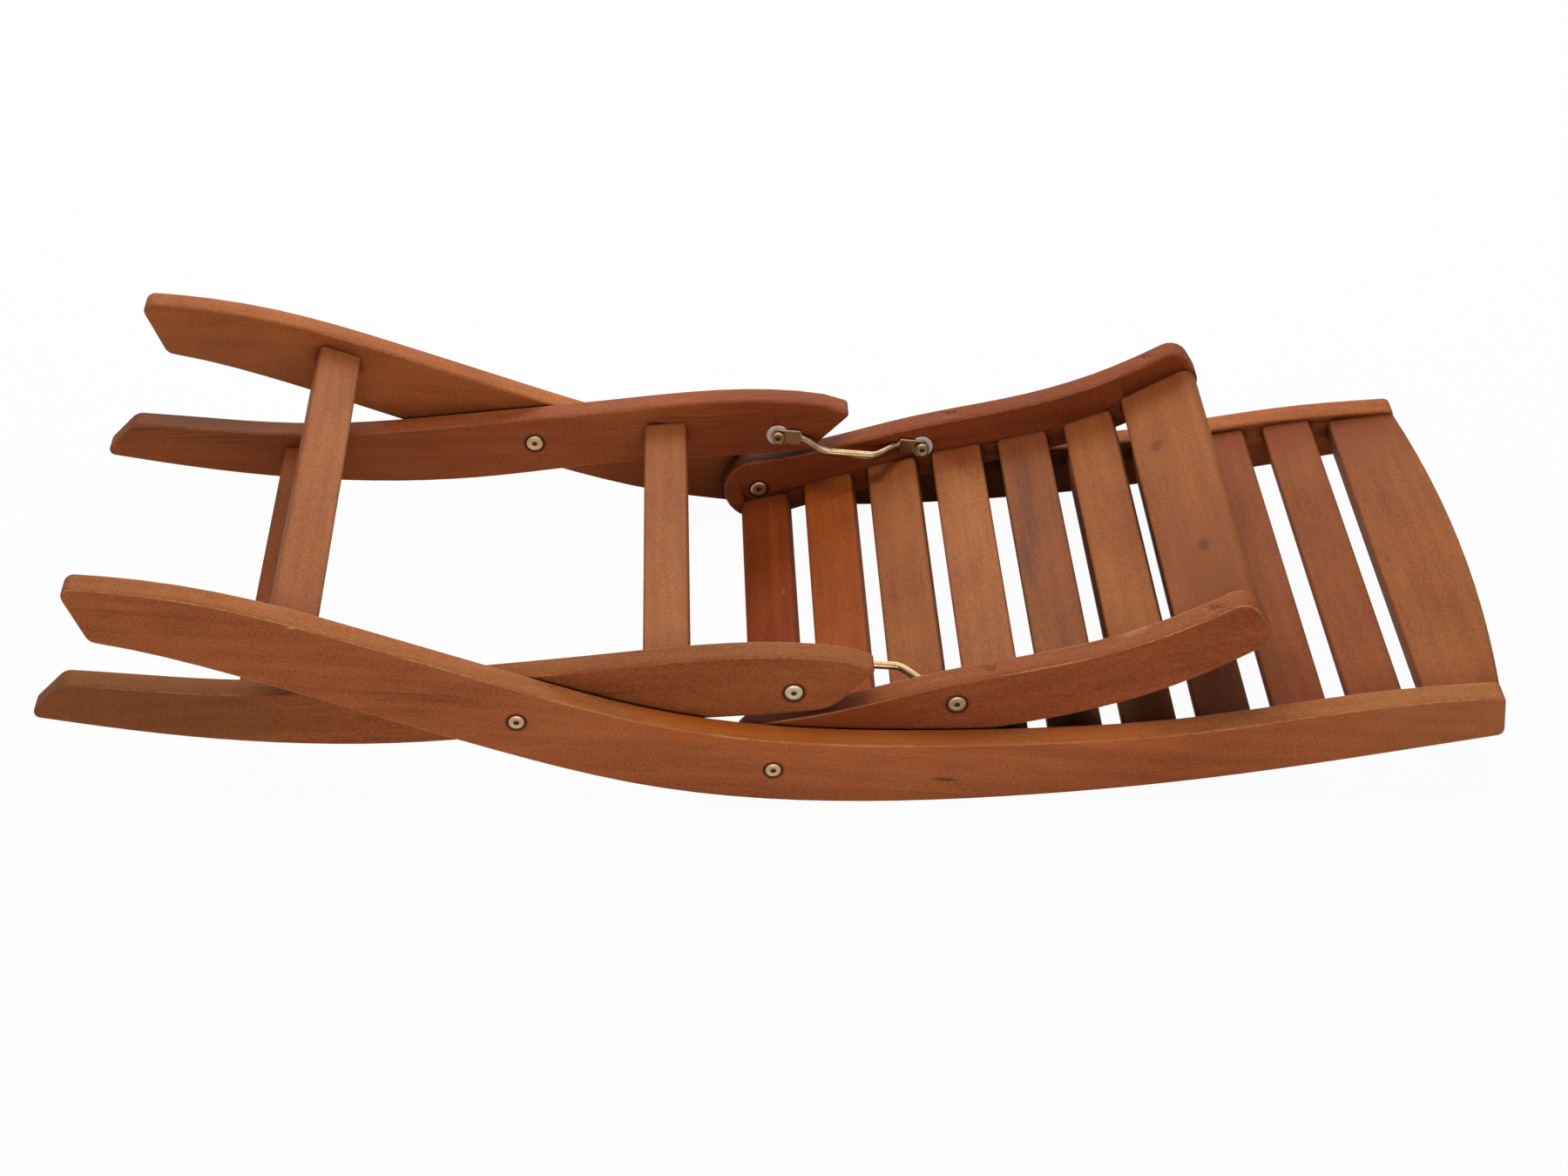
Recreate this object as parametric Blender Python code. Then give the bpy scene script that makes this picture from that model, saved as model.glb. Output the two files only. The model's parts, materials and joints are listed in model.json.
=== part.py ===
# A wooden folding chair of curved boards, folded flat and lying on the backs of its long rails.
#
# Metres, +Z up. +X runs from the feet to the top of the back and +Y from the sitter's left to the right.
# Side-view places are (x, z) from the seat pivot, drawn with the chair folded. "Front" is the side that
# faces forward on the standing chair, which is up in this drawing, and "back" is the side that is down.
# Distances across the chair are measured from its middle plane. Side is -1 on the left, +1 on the right.

import math

import bmesh
import bpy
import numpy as np

# Overall width and board thicknesses
CHAIR_WIDTH = 0.430
LONG_RAIL_THICKNESS = 0.021
LEG_THICKNESS = 0.021
SEAT_RAIL_THICKNESS = 0.021
BOARD_ARRIS = 0.0022

# Pivots in the side view, with the seat pivot at zero
LEG_PIVOT = (-0.194, 0.0526)
LINK_LEG_PIVOT = (0.0167, 0.0570)
LINK_SEAT_PIVOT = (0.1421, 0.0424)

# Fold: how far the seat turns from folded to open, and which way is up once the chair stands
SEAT_OPEN_ANGLE = math.radians(87.5)
STANDING_UP_ANGLE = math.radians(20.4)
# The folded chair rocks on the curved backs of its long rails until this place is over its footing
CENTRE_OF_MASS = (0.079, 0.0437)

# Curved boards: centre line (x, z) and width at each station, from the foot or the pivot onwards
LONG_RAIL_STATIONS = (
    (-0.544, 0.1655, 0.0440),
    (-0.494, 0.1585, 0.0485),
    (-0.418, 0.1392, 0.0566),
    (-0.319, 0.1017, 0.0609),
    (-0.217, 0.0602, 0.0614),
    (-0.092, 0.0161, 0.0601),
    (0.042, -0.0047, 0.0571),
    (0.171, -0.0066, 0.0531),
    (0.333, 0.0043, 0.0474),
    (0.472, 0.0256, 0.0466),
    (0.562, 0.0368, 0.0375),
)
LEG_STATIONS = (
    (-0.574, 0.0684, 0.0316),
    (-0.490, 0.0547, 0.0402),
    (-0.426, 0.0459, 0.0438),
    (-0.360, 0.0414, 0.0481),
    (-0.248, 0.0450, 0.0553),
    (-0.128, 0.0567, 0.0535),
    (-0.015, 0.0636, 0.0566),
    (0.045, 0.0635, 0.0480),
    (0.076, 0.0594, 0.0370),
    (0.0975, 0.0518, 0.0204),
)
SEAT_RAIL_STATIONS = (
    (-0.0005, -0.0015, 0.0600),
    (0.049, 0.0111, 0.0520),
    (0.136, 0.0354, 0.0499),
    (0.237, 0.0569, 0.0500),
    (0.316, 0.0853, 0.0480),
    (0.373, 0.1168, 0.0454),
)
LONG_RAIL_FOOT_X = -0.5120
LONG_RAIL_FOOT_Z = 0.1593
LONG_RAIL_FOOT_RADIUS = 0.008
LONG_RAIL_HEEL_RADIUS = 0.010
LONG_RAIL_TOP_RADIUS = 0.006
LEG_FOOT_RADIUS = 0.012
LEG_TOE_RADIUS = 0.005
LEG_TIP_RADIUS = 0.004
LEG_HEEL_RADIUS = 0.030
SEAT_RAIL_NOSE_RADIUS = 0.016
SEAT_REST_GAP = 0.0004

# Slats and stretchers
BACK_SLAT_COUNT = 6
BACK_SLAT_WIDTH = 0.042
BACK_SLAT_THICKNESS = 0.013
BACK_SLAT_RECESS = 0.0045
LOWEST_BACK_SLAT_RECESS = 0.0075
FOLDED_SEAT_CLEARANCE = 0.002
CREST_WIDTH = 0.0580
CREST_RISE = 0.013
CREST_THICKNESS = 0.022
CREST_RECESS = 0.0055
CREST_GAP = 0.016
SEAT_SLAT_COUNT = 6
SEAT_SLAT_WIDTH = 0.0435
SEAT_SLAT_THICKNESS = 0.018
SEAT_SLAT_RECESS = 0.004
SEAT_REAR_SLAT_ARRIS = 0.006
SEAT_SLAT_FIRST = 0.0030
FRONT_SLAT_WIDTH = 0.066
FRONT_SLAT_THICKNESS = 0.023
FRONT_SLAT_NOSE_RADIUS = 0.010
FRONT_SLAT_SETBACK = 0.002
FRONT_SLAT_GAP = 0.011
STRETCHER_WIDTH = 0.036
STRETCHER_THICKNESS = 0.020
FOOT_STRETCHER_X = -0.3615
FOOT_STRETCHER_RECESS = 0.012
UPPER_STRETCHER_X = -0.080
LOWER_STRETCHER_X = -0.392
SLAT_ARRIS = 0.003

# Mortise and tenon joints
TENON_LENGTH = 0.010
TENON_SIDE_SHOULDER = 0.004
TENON_FACE_SHOULDER = 0.0025
TENON_ARRIS = 0.0005
JOINT_GAP = 0.0003

# Pivot hardware
BOLT_RADIUS = 0.003
SLEEVE_RADIUS = 0.0042
RUNNING_GAP = 0.0003
BOLT_HEAD_RADIUS = 0.0062
NUT_HEAD_RADIUS = 0.00725
HEAD_HEIGHT = 0.0025
HEAD_RIM_HEIGHT = 0.0014
HEAD_FLAT_SHARE = 0.72
COUNTERBORE_DEPTH = 0.002
COUNTERBORE_GAP = 0.0008
SOCKET_RADIUS = 0.0022
SOCKET_DEPTH = 0.0015
SLEEVE_SETBACK = 0.003
BOLT_ENGAGEMENT = 0.010
SLEEVE_BORE_SLACK = 0.002
PIVOT_WASHER_RADIUS = 0.010
PIVOT_WASHER_THICKNESS = 0.0012
LINK_WASHER_RADIUS = 0.0096
LINK_WASHER_THICKNESS = 0.0015
PIN_RADIUS = 0.0025
PIN_LENGTH = 0.008

# Brass link
LINK_TAB_RADIUS = 0.007
LINK_TAB_THICKNESS = 0.003
LINK_TAB_STRAIGHT = 0.0165
LINK_TAB_SQUARENESS = 0.5
LINK_ROD_RADIUS = 0.003
LINK_BOW_LENGTH = 0.044
LINK_BOW_DEPTH = 0.020
LINK_RAMP_LENGTH = 0.019

# How finely the curves are cut
LONG_RAIL_STEPS = 45
LEG_STEPS = 32
SEAT_RAIL_STEPS = 20
ROUND_SIDES = 18
CORNER_STEPS = 5
ARRIS_STEPS = 2
NOSE_STEPS = 4
CREST_STEPS = 12
LINK_SIDES = 12
LINK_STEPS = 5
PLACE_STEPS = 400
SHARP_TURN = math.radians(25)
CUT_MARGIN = 0.004
FILLET_MARGIN = 0.002

# Rough side-view directions that tell the sharp corners of a board apart
RAIL_FOOT_FRONT = (-1, 1)
RAIL_FOOT_BACK = (-1, -1)
RAIL_TOP_FRONT = (1, 1)
RAIL_TOP_BACK = (1, -1)
LEG_FOOT_FRONT = (-0.3, 1)
LEG_FOOT_BACK = (-1, -0.3)
LEG_TIP_FRONT = (1, 0.3)
LEG_TIP_BACK = (1, -2)
SEAT_NOSE_FRONT = (0, 1)
SEAT_NOSE_BACK = (1, -0.2)

# Distances from the middle plane, derived from the outside in
RAIL_OUTER = CHAIR_WIDTH / 2
RAIL_INNER = RAIL_OUTER - LONG_RAIL_THICKNESS
LAYER_OUTER = RAIL_INNER - PIVOT_WASHER_THICKNESS - 2 * RUNNING_GAP
LEG_INNER = LAYER_OUTER - LEG_THICKNESS
SEAT_INNER = LAYER_OUTER - SEAT_RAIL_THICKNESS
LEFT_AND_RIGHT = ((-1, "left"), (1, "right"))
SEAT_PIVOT = (0.0, 0.0)
LONG_RAIL_FOOT = (LONG_RAIL_FOOT_X, LONG_RAIL_FOOT_Z)


# Side-view curves

def turned(points, centre, angle):
    """Side-view points turned about a centre, from +X towards +Z."""
    cosine = math.cos(angle)
    sine = math.sin(angle)
    matrix = np.array(((cosine, -sine), (sine, cosine)))
    return (np.asarray(points) - centre) @ matrix.T + centre


def direction(angle):
    return np.array((math.cos(angle), math.sin(angle)))


def angle_of(vector):
    return math.atan2(vector[1], vector[0])


def natural_spline(stations, count):
    """Rows at even steps along a natural cubic spline through the stations."""
    knots = np.array(stations)
    spans = np.linalg.norm(np.diff(knots[:, :2], axis=0), axis=1)
    at = np.concatenate(((0.0,), np.cumsum(spans)))
    system = np.eye(len(knots))
    bends = np.zeros_like(knots)
    slopes = np.diff(knots, axis=0) / spans[:, None]
    for i in range(1, len(knots) - 1):
        system[i, i - 1] = spans[i - 1]
        system[i, i] = 2 * (spans[i - 1] + spans[i])
        system[i, i + 1] = spans[i]
        bends[i] = 6 * (slopes[i] - slopes[i - 1])
    bends = np.linalg.solve(system, bends)
    rows = []
    for place in np.linspace(0.0, at[-1], count):
        i = min(int(np.searchsorted(at, place, side="right")) - 1, len(spans) - 1)
        before = (at[i + 1] - place) / spans[i]
        after = 1.0 - before
        curve = (before**3 - before) * bends[i] + (after**3 - after) * bends[i + 1]
        rows.append(before * knots[i] + after * knots[i + 1] + curve * spans[i] ** 2 / 6)
    return np.array(rows)


class Board:
    """A curved board's centre line and width, which places on it are read from."""

    def __init__(self, stations):
        rows = natural_spline(stations, PLACE_STEPS)
        self.centre = rows[:, :2]
        self.width = rows[:, 2]
        steps = np.gradient(self.centre, axis=0)
        self.along = steps / np.linalg.norm(steps, axis=1)[:, None]
        self.front = np.column_stack((-self.along[:, 1], self.along[:, 0]))
        gaps = np.linalg.norm(np.diff(self.centre, axis=0), axis=1)
        self.distance = np.concatenate(((0.0,), np.cumsum(gaps)))
        self.length = self.distance[-1]

    def read(self, values, distance):
        return np.array([np.interp(distance, self.distance, column) for column in np.transpose(values)])

    def place(self, distance):
        """Centre, direction along the board, direction to its front edge, and width."""
        along = self.read(self.along, distance)
        along = along / np.linalg.norm(along)
        front = np.array((-along[1], along[0]))
        width = float(np.interp(distance, self.distance, self.width))
        return self.read(self.centre, distance), along, front, width

    def distance_at(self, x):
        return float(np.interp(x, self.centre[:, 0], self.distance))

    def edge(self, sign, count):
        """Points along the front edge (sign 1) or the back edge (sign -1)."""
        points = self.centre + sign * self.front * self.width[:, None] / 2
        at = np.linspace(0.0, self.length, count)
        return np.column_stack([np.interp(at, self.distance, column) for column in points.T])

    def outline(self, count):
        return np.concatenate((self.edge(-1, count), self.edge(1, count)[::-1]))


def clipped(outline, point, keep):
    """The outline cut by a straight line through the point, kept on the side that keep points to."""
    heights = (outline - point) @ keep
    kept = []
    for i, here in enumerate(outline):
        j = (i + 1) % len(outline)
        if heights[i] >= 0:
            kept.append(here)
        if (heights[i] >= 0) != (heights[j] >= 0):
            share = heights[i] / (heights[i] - heights[j])
            kept.append(here + share * (outline[j] - here))
    return np.array(kept)


def filleted(outline, towards, radius):
    """The outline with its sharp corner that lies furthest towards a direction rounded off."""
    before = outline - np.roll(outline, 1, axis=0)
    after = np.roll(outline, -1, axis=0) - outline
    before = before / np.linalg.norm(before, axis=1)[:, None]
    after = after / np.linalg.norm(after, axis=1)[:, None]
    turns = np.arccos(np.clip((before * after).sum(axis=1), -1, 1))
    reach = np.where(turns > SHARP_TURN, outline @ np.array(towards), -np.inf)
    corner = int(np.argmax(reach))
    tangent = radius * math.tan(turns[corner] / 2)
    start = outline[corner] - before[corner] * tangent
    inward = np.array((-before[corner][1], before[corner][0]))
    centre = start + inward * radius
    arc = [turned(start, centre, turns[corner] * i / CORNER_STEPS) for i in range(CORNER_STEPS + 1)]
    clear = np.linalg.norm(outline - outline[corner], axis=1) > tangent + FILLET_MARGIN
    return np.concatenate((outline[:corner][clear[:corner]], arc, outline[corner:][clear[corner:]]))


def inset(outline, distance):
    """The outline moved inwards by a distance."""
    steps = np.roll(outline, -1, axis=0) - outline
    inward = np.column_stack((-steps[:, 1], steps[:, 0])) / np.linalg.norm(steps, axis=1)[:, None]
    previous = np.roll(inward, 1, axis=0)
    spread = 1 + (inward * previous).sum(axis=1)
    return outline + distance * (inward + previous) / spread[:, None]


def rounded_rectangle(width, height, radii, steps):
    """A rectangle about zero with rounded corners, from the upper right one round to the left."""
    points = []
    for quarter, radius in enumerate(radii):
        sign_u = 1 if quarter in (0, 3) else -1
        sign_v = 1 if quarter in (0, 1) else -1
        centre = np.array((sign_u * (width / 2 - radius), sign_v * (height / 2 - radius)))
        for i in range(steps + 1):
            points.append(centre + radius * direction(math.pi / 2 * (quarter + i / steps)))
    return np.array(points)


# Fold geometry

def open_leg_angle():
    """How far the rear legs turn when the seat is open, from the four pivots."""
    seat_end = turned(LINK_SEAT_PIVOT, SEAT_PIVOT, SEAT_OPEN_ANGLE)
    leg_arm = math.dist(LEG_PIVOT, LINK_LEG_PIVOT)
    link_arm = math.dist(LINK_LEG_PIVOT, LINK_SEAT_PIVOT)
    span = seat_end - np.array(LEG_PIVOT)
    reach = np.linalg.norm(span)
    corner = math.acos((leg_arm**2 + reach**2 - link_arm**2) / (2 * leg_arm * reach))
    folded = np.array(LINK_LEG_PIVOT) - np.array(LEG_PIVOT)
    return angle_of(span) + corner - angle_of(folded)


LONG_RAIL = Board(LONG_RAIL_STATIONS)
LEG = Board(LEG_STATIONS)
SEAT_RAIL = Board(SEAT_RAIL_STATIONS)
STANDING_UP = direction(STANDING_UP_ANGLE)
LEG_OPEN_ANGLE = open_leg_angle()


def long_rail_outline():
    outline = LONG_RAIL.outline(LONG_RAIL_STEPS)
    outline = clipped(outline, LONG_RAIL_FOOT, STANDING_UP)
    outline = filleted(outline, RAIL_FOOT_FRONT, LONG_RAIL_FOOT_RADIUS)
    outline = filleted(outline, RAIL_FOOT_BACK, LONG_RAIL_HEEL_RADIUS)
    outline = filleted(outline, RAIL_TOP_FRONT, LONG_RAIL_TOP_RADIUS)
    return filleted(outline, RAIL_TOP_BACK, LONG_RAIL_TOP_RADIUS)


def leg_tip_height(open_outline):
    """Height of the open seat rail's underside above the seat pivot, over the top of the open leg."""
    floor_way = np.array((-STANDING_UP[1], STANDING_UP[0]))
    underside = turned(SEAT_RAIL.edge(1, PLACE_STEPS), SEAT_PIVOT, SEAT_OPEN_ANGLE)
    tip = turned(LINK_LEG_PIVOT, LEG_PIVOT, LEG_OPEN_ANGLE) @ floor_way
    heel = (open_outline @ floor_way).min()
    half_span = min(LEG.width.max() / 2, tip - heel)
    over_tip = np.abs(underside @ floor_way - tip) < half_span
    return (underside[over_tip] @ STANDING_UP).min()


def leg_outline():
    """The rear leg: its foot stands on the long rails' floor, and its tip is cut to carry the seat."""
    outline = turned(LEG.outline(LEG_STEPS), LEG_PIVOT, LEG_OPEN_ANGLE)
    outline = clipped(outline, LONG_RAIL_FOOT, STANDING_UP)
    tip_point = STANDING_UP * (leg_tip_height(outline) - SEAT_REST_GAP)
    outline = clipped(outline, tip_point, -STANDING_UP)
    outline = turned(outline, LEG_PIVOT, -LEG_OPEN_ANGLE)
    outline = filleted(outline, LEG_FOOT_FRONT, LEG_FOOT_RADIUS)
    outline = filleted(outline, LEG_FOOT_BACK, LEG_TOE_RADIUS)
    outline = filleted(outline, LEG_TIP_FRONT, LEG_TIP_RADIUS)
    return filleted(outline, LEG_TIP_BACK, LEG_HEEL_RADIUS)


def seat_rail_outline():
    outline = SEAT_RAIL.outline(SEAT_RAIL_STEPS)
    centre, along, front, width = SEAT_RAIL.place(0.0)
    start = angle_of(front)
    turns = [math.pi * i / ROUND_SIDES for i in range(1, ROUND_SIDES)]
    rear = [centre + width / 2 * direction(start + turn) for turn in turns]
    outline = np.concatenate((outline, rear))
    outline = filleted(outline, SEAT_NOSE_FRONT, SEAT_RAIL_NOSE_RADIUS)
    return filleted(outline, SEAT_NOSE_BACK, SEAT_RAIL_NOSE_RADIUS)


# Meshes

def ring(points, distance):
    """Side-view points as a ring of corners at one distance across the chair."""
    return [(x, distance, z) for x, z in points]


def circle(centre, radius):
    steps = [2 * math.pi * i / ROUND_SIDES for i in range(ROUND_SIDES)]
    return [np.array(centre) + radius * direction(step) for step in steps]


def hexagon(centre, radius):
    """A hexagon with as many points as a circle has, so that the two can be joined."""
    points = []
    for i in range(ROUND_SIDES):
        step = 2 * math.pi * i / ROUND_SIDES
        within = step % (math.pi / 3) - math.pi / 6
        reach = radius * math.cos(math.pi / 6) / math.cos(within)
        points.append(np.array(centre) + reach * direction(step))
    return points


def add_rings(mesh, rings, closed=False):
    """Joins rings of corners into a skin, capped at both ends unless the rings go round."""
    corners = [[mesh.verts.new(corner) for corner in points] for points in rings]
    pairs = list(zip(corners, corners[1:]))
    if closed:
        pairs.append((corners[-1], corners[0]))
    for one, two in pairs:
        for i in range(len(one)):
            j = (i + 1) % len(one)
            mesh.faces.new((one[i], one[j], two[j], two[i]))
    if not closed:
        mesh.faces.new(corners[0])
        mesh.faces.new(corners[-1])


def add_object(name, shells, material, axis, closed=False):
    """One object from one or more skins, under the empty that it turns with."""
    mesh = bmesh.new()
    for rings in shells:
        add_rings(mesh, rings, closed)
    bmesh.ops.recalc_face_normals(mesh, faces=mesh.faces)
    data = bpy.data.meshes.new(name)
    mesh.to_mesh(data)
    mesh.free()
    data.shade_smooth()
    data.set_sharp_from_angle(angle=SHARP_TURN)
    thing = bpy.data.objects.new(name, data)
    bpy.context.collection.objects.link(thing)
    thing.parent = axis
    thing.location = [-place for place in axis["drawing_place"]]
    if material:
        data.materials.append(material)
    return thing


def add_cut(thing, shells):
    """Cuts closed shells out of an object, with a hidden cutter."""
    cutter = add_object(thing.name + "_cut", shells, None, thing.parent)
    cutter.hide_render = True
    cutter.display_type = "WIRE"
    cut = thing.modifiers.new("cut", "BOOLEAN")
    cut.operation = "DIFFERENCE"
    cut.solver = "EXACT"
    cut.object = cutter


def slab(outline, low, high):
    """Rings of a board with rounded arrises, between two distances across the chair."""
    rings = []
    for i in range(ARRIS_STEPS + 1):
        angle = math.pi / 2 * i / ARRIS_STEPS
        edge = inset(outline, BOARD_ARRIS * (1 - math.sin(angle)))
        rings.append((edge, BOARD_ARRIS * (1 - math.cos(angle))))
    near = [ring(edge, low + depth) for edge, depth in rings]
    far = [ring(edge, high - depth) for edge, depth in reversed(rings)]
    return near + far


def rod(centre, radius, low, high):
    return [ring(circle(centre, radius), low), ring(circle(centre, radius), high)]


def section_at(centre, along, front, section):
    """A cross-section drawn about zero, set on a board."""
    return [centre + u * along + v * front for u, v in section]


class Bar:
    """A slat or stretcher: where its section lies, its size, and its tenons."""

    def __init__(self, board, distance, offset, width, thickness):
        centre, self.along, self.front, board_width = board.place(distance)
        self.centre = centre + self.front * offset(board_width)
        self.width = width
        self.thickness = thickness

    def section(self, width, thickness, radii, steps, shift=0.0):
        corners = rounded_rectangle(width, thickness, radii, steps)
        return section_at(self.centre + self.along * shift, self.along, self.front, corners)

    def tenon(self, steps, grow=0.0):
        width = self.width - 2 * TENON_SIDE_SHOULDER + 2 * grow
        thickness = self.thickness - 2 * TENON_FACE_SHOULDER + 2 * grow
        return self.section(width, thickness, (TENON_ARRIS,) * 4, steps)

    def rings(self, half, body, steps):
        """Rings from tenon to tenon, where body gives the middle rings as (section, distance)."""
        tenon = self.tenon(steps)
        near = [ring(tenon, -half - TENON_LENGTH), ring(tenon, -half + JOINT_GAP)]
        far = [ring(tenon, half - JOINT_GAP), ring(tenon, half + TENON_LENGTH)]
        return near + [ring(section, distance) for section, distance in body] + far

    def plain(self, half, radii=(SLAT_ARRIS,) * 4, steps=ARRIS_STEPS):
        body = self.section(self.width, self.thickness, radii, steps)
        shoulder = half - JOINT_GAP
        return self.rings(half, ((body, -shoulder), (body, shoulder)), steps)

    def mortise(self, half, side):
        """The pocket that the tenon sits in, from inside the frame into the board."""
        pocket = self.tenon(1, JOINT_GAP)
        mouth = ring(pocket, side * (half - CUT_MARGIN))
        return [mouth, ring(pocket, side * (half + TENON_LENGTH + JOINT_GAP))]


def from_front(recess, thickness):
    return lambda board_width: board_width / 2 - recess - thickness / 2


def from_back(recess, thickness):
    return lambda board_width: thickness / 2 + recess - board_width / 2


def centred(board_width):
    return 0.0


# Materials

def add_material(name, colour, roughness, metallic):
    material = bpy.data.materials.new(name)
    material.use_nodes = True
    shader = material.node_tree.nodes["Principled BSDF"]
    shader.inputs["Base Color"].default_value = (*colour, 1.0)
    shader.inputs["Roughness"].default_value = roughness
    shader.inputs["Metallic"].default_value = metallic
    return material


# Where the slats lie

def lowest_back_slat_edge():
    """Distance up the long rail at which a slat clears the folded seat rail."""
    seat = SEAT_RAIL.edge(-1, PLACE_STEPS)
    face = LONG_RAIL.centre + LONG_RAIL.front * (LONG_RAIL.width / 2 - LOWEST_BACK_SLAT_RECESS)[:, None]
    room = np.interp(face[:, 0], seat[:, 0], seat[:, 1]) - face[:, 1]
    above_pivot = LONG_RAIL.centre[:, 0] > SEAT_RAIL.width[0]
    return LONG_RAIL.distance[above_pivot & (room > FOLDED_SEAT_CLEARANCE)][0]


def spread(first, last, count):
    return [first + (last - first) * i / (count - 1) for i in range(count)]


def back_bars():
    """The crest and the back slats, from the lowest up."""
    crest_edge = LONG_RAIL.length - CREST_WIDTH
    offset = from_front(CREST_RECESS, CREST_THICKNESS)
    crest = Bar(LONG_RAIL, crest_edge + CREST_WIDTH / 2, offset, CREST_WIDTH, CREST_THICKNESS)
    first = lowest_back_slat_edge() + BACK_SLAT_WIDTH / 2
    last = crest_edge - CREST_GAP - BACK_SLAT_WIDTH / 2
    recesses = spread(LOWEST_BACK_SLAT_RECESS, BACK_SLAT_RECESS, BACK_SLAT_COUNT)
    slats = []
    for distance, recess in zip(spread(first, last, BACK_SLAT_COUNT), recesses):
        offset = from_front(recess, BACK_SLAT_THICKNESS)
        slats.append(Bar(LONG_RAIL, distance, offset, BACK_SLAT_WIDTH, BACK_SLAT_THICKNESS))
    return crest, slats


def seat_bars():
    """The front slat and the seat slats, from the rear forward."""
    nose = SEAT_RAIL.length - FRONT_SLAT_SETBACK
    offset = from_back(SEAT_SLAT_RECESS, FRONT_SLAT_THICKNESS)
    front = Bar(SEAT_RAIL, nose - FRONT_SLAT_WIDTH / 2, offset, FRONT_SLAT_WIDTH, FRONT_SLAT_THICKNESS)
    last = nose - FRONT_SLAT_WIDTH - FRONT_SLAT_GAP - SEAT_SLAT_WIDTH / 2
    offset = from_back(SEAT_SLAT_RECESS, SEAT_SLAT_THICKNESS)
    slats = []
    for distance in spread(SEAT_SLAT_FIRST, last, SEAT_SLAT_COUNT):
        slats.append(Bar(SEAT_RAIL, distance, offset, SEAT_SLAT_WIDTH, SEAT_SLAT_THICKNESS))
    return front, slats


def stretcher(board, x, offset):
    return Bar(board, board.distance_at(x), offset, STRETCHER_WIDTH, STRETCHER_THICKNESS)


# Pivot hardware, with distances from the middle plane counted outwards

def head_rings(centre, radius, seat, outward):
    """Rings of a low domed head with a hexagon socket, from the socket's floor to the head's seat."""
    face = seat + outward * HEAD_HEIGHT
    rim = seat + outward * HEAD_RIM_HEIGHT
    return [
        (hexagon(centre, SOCKET_RADIUS), face - outward * SOCKET_DEPTH),
        (hexagon(centre, SOCKET_RADIUS), face),
        (circle(centre, radius * HEAD_FLAT_SHARE), face),
        (circle(centre, radius), rim),
        (circle(centre, radius), seat),
    ]


class Pivot:
    """The hardware of one pivot on one side of the chair."""

    def __init__(self, name, centre, side, word, materials):
        self.name = name
        self.centre = centre
        self.side = side
        self.word = word
        self.brass = materials["brass"]
        self.nylon = materials["nylon"]

    def add(self, piece, rings, material, axis, closed=False):
        shell = [ring(points, self.side * at) for points, at in rings]
        add_object(f"{self.name}_{piece}_{self.word}", [shell], material, axis, closed)

    def add_bolt(self, seat, outward, head_radius, length, axis):
        shank = circle(self.centre, BOLT_RADIUS)
        rings = head_rings(self.centre, head_radius, seat, outward)
        rings += [(shank, seat), (shank, seat - outward * length)]
        self.add("bolt", rings, self.brass, axis)

    def add_nut(self, seat, outward, head_radius, length, axis):
        """A headed sleeve with a blind bore for the bolt in its far end."""
        end = seat - outward * length
        floor = end + outward * (BOLT_ENGAGEMENT + SLEEVE_BORE_SLACK)
        sleeve = circle(self.centre, SLEEVE_RADIUS)
        hole = circle(self.centre, BOLT_RADIUS + RUNNING_GAP)
        rings = head_rings(self.centre, head_radius, seat, outward)
        rings += [(sleeve, seat), (sleeve, end), (hole, end), (hole, floor)]
        self.add("nut", rings, self.brass, axis)

    def add_washer(self, radius, hole_radius, low, thickness, axis):
        rim = circle(self.centre, radius)
        hole = circle(self.centre, hole_radius)
        high = low + thickness
        rings = [(rim, low), (rim, high), (hole, high), (hole, low)]
        self.add("washer", rings, self.nylon, axis, closed=True)


def bore(centre, side, plain_face, head_face, head_radius):
    """A hole for a sleeve through a board, with the shallow round seat of a head in one face."""
    outward = math.copysign(1, head_face - plain_face)
    hole = SLEEVE_RADIUS + RUNNING_GAP
    seat = head_radius + COUNTERBORE_GAP
    floor = head_face - outward * COUNTERBORE_DEPTH
    rings = [(hole, plain_face - outward * CUT_MARGIN), (hole, floor)]
    rings += [(seat, floor), (seat, head_face + outward * CUT_MARGIN)]
    return [ring(circle(centre, radius), side * at) for radius, at in rings]


def add_rail_pivot(pivot, inner_face, axis):
    """Bolt from outside the long rail, sleeve nut from inside, and a washer between the boards."""
    outer_seat = RAIL_OUTER - COUNTERBORE_DEPTH + RUNNING_GAP
    inner_seat = inner_face + COUNTERBORE_DEPTH - RUNNING_GAP
    sleeve = outer_seat - inner_seat - SLEEVE_SETBACK
    pivot.add_bolt(outer_seat, 1, BOLT_HEAD_RADIUS, SLEEVE_SETBACK + BOLT_ENGAGEMENT, axis)
    pivot.add_nut(inner_seat, -1, NUT_HEAD_RADIUS, sleeve, axis)
    hole = SLEEVE_RADIUS + RUNNING_GAP
    pivot.add_washer(PIVOT_WASHER_RADIUS, hole, LAYER_OUTER + RUNNING_GAP, PIVOT_WASHER_THICKNESS, axis)


def link_tab_outer(inner_face):
    """Distance of a link tab's wood side, with its washer between."""
    return inner_face - LINK_WASHER_THICKNESS - 2 * RUNNING_GAP


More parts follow.
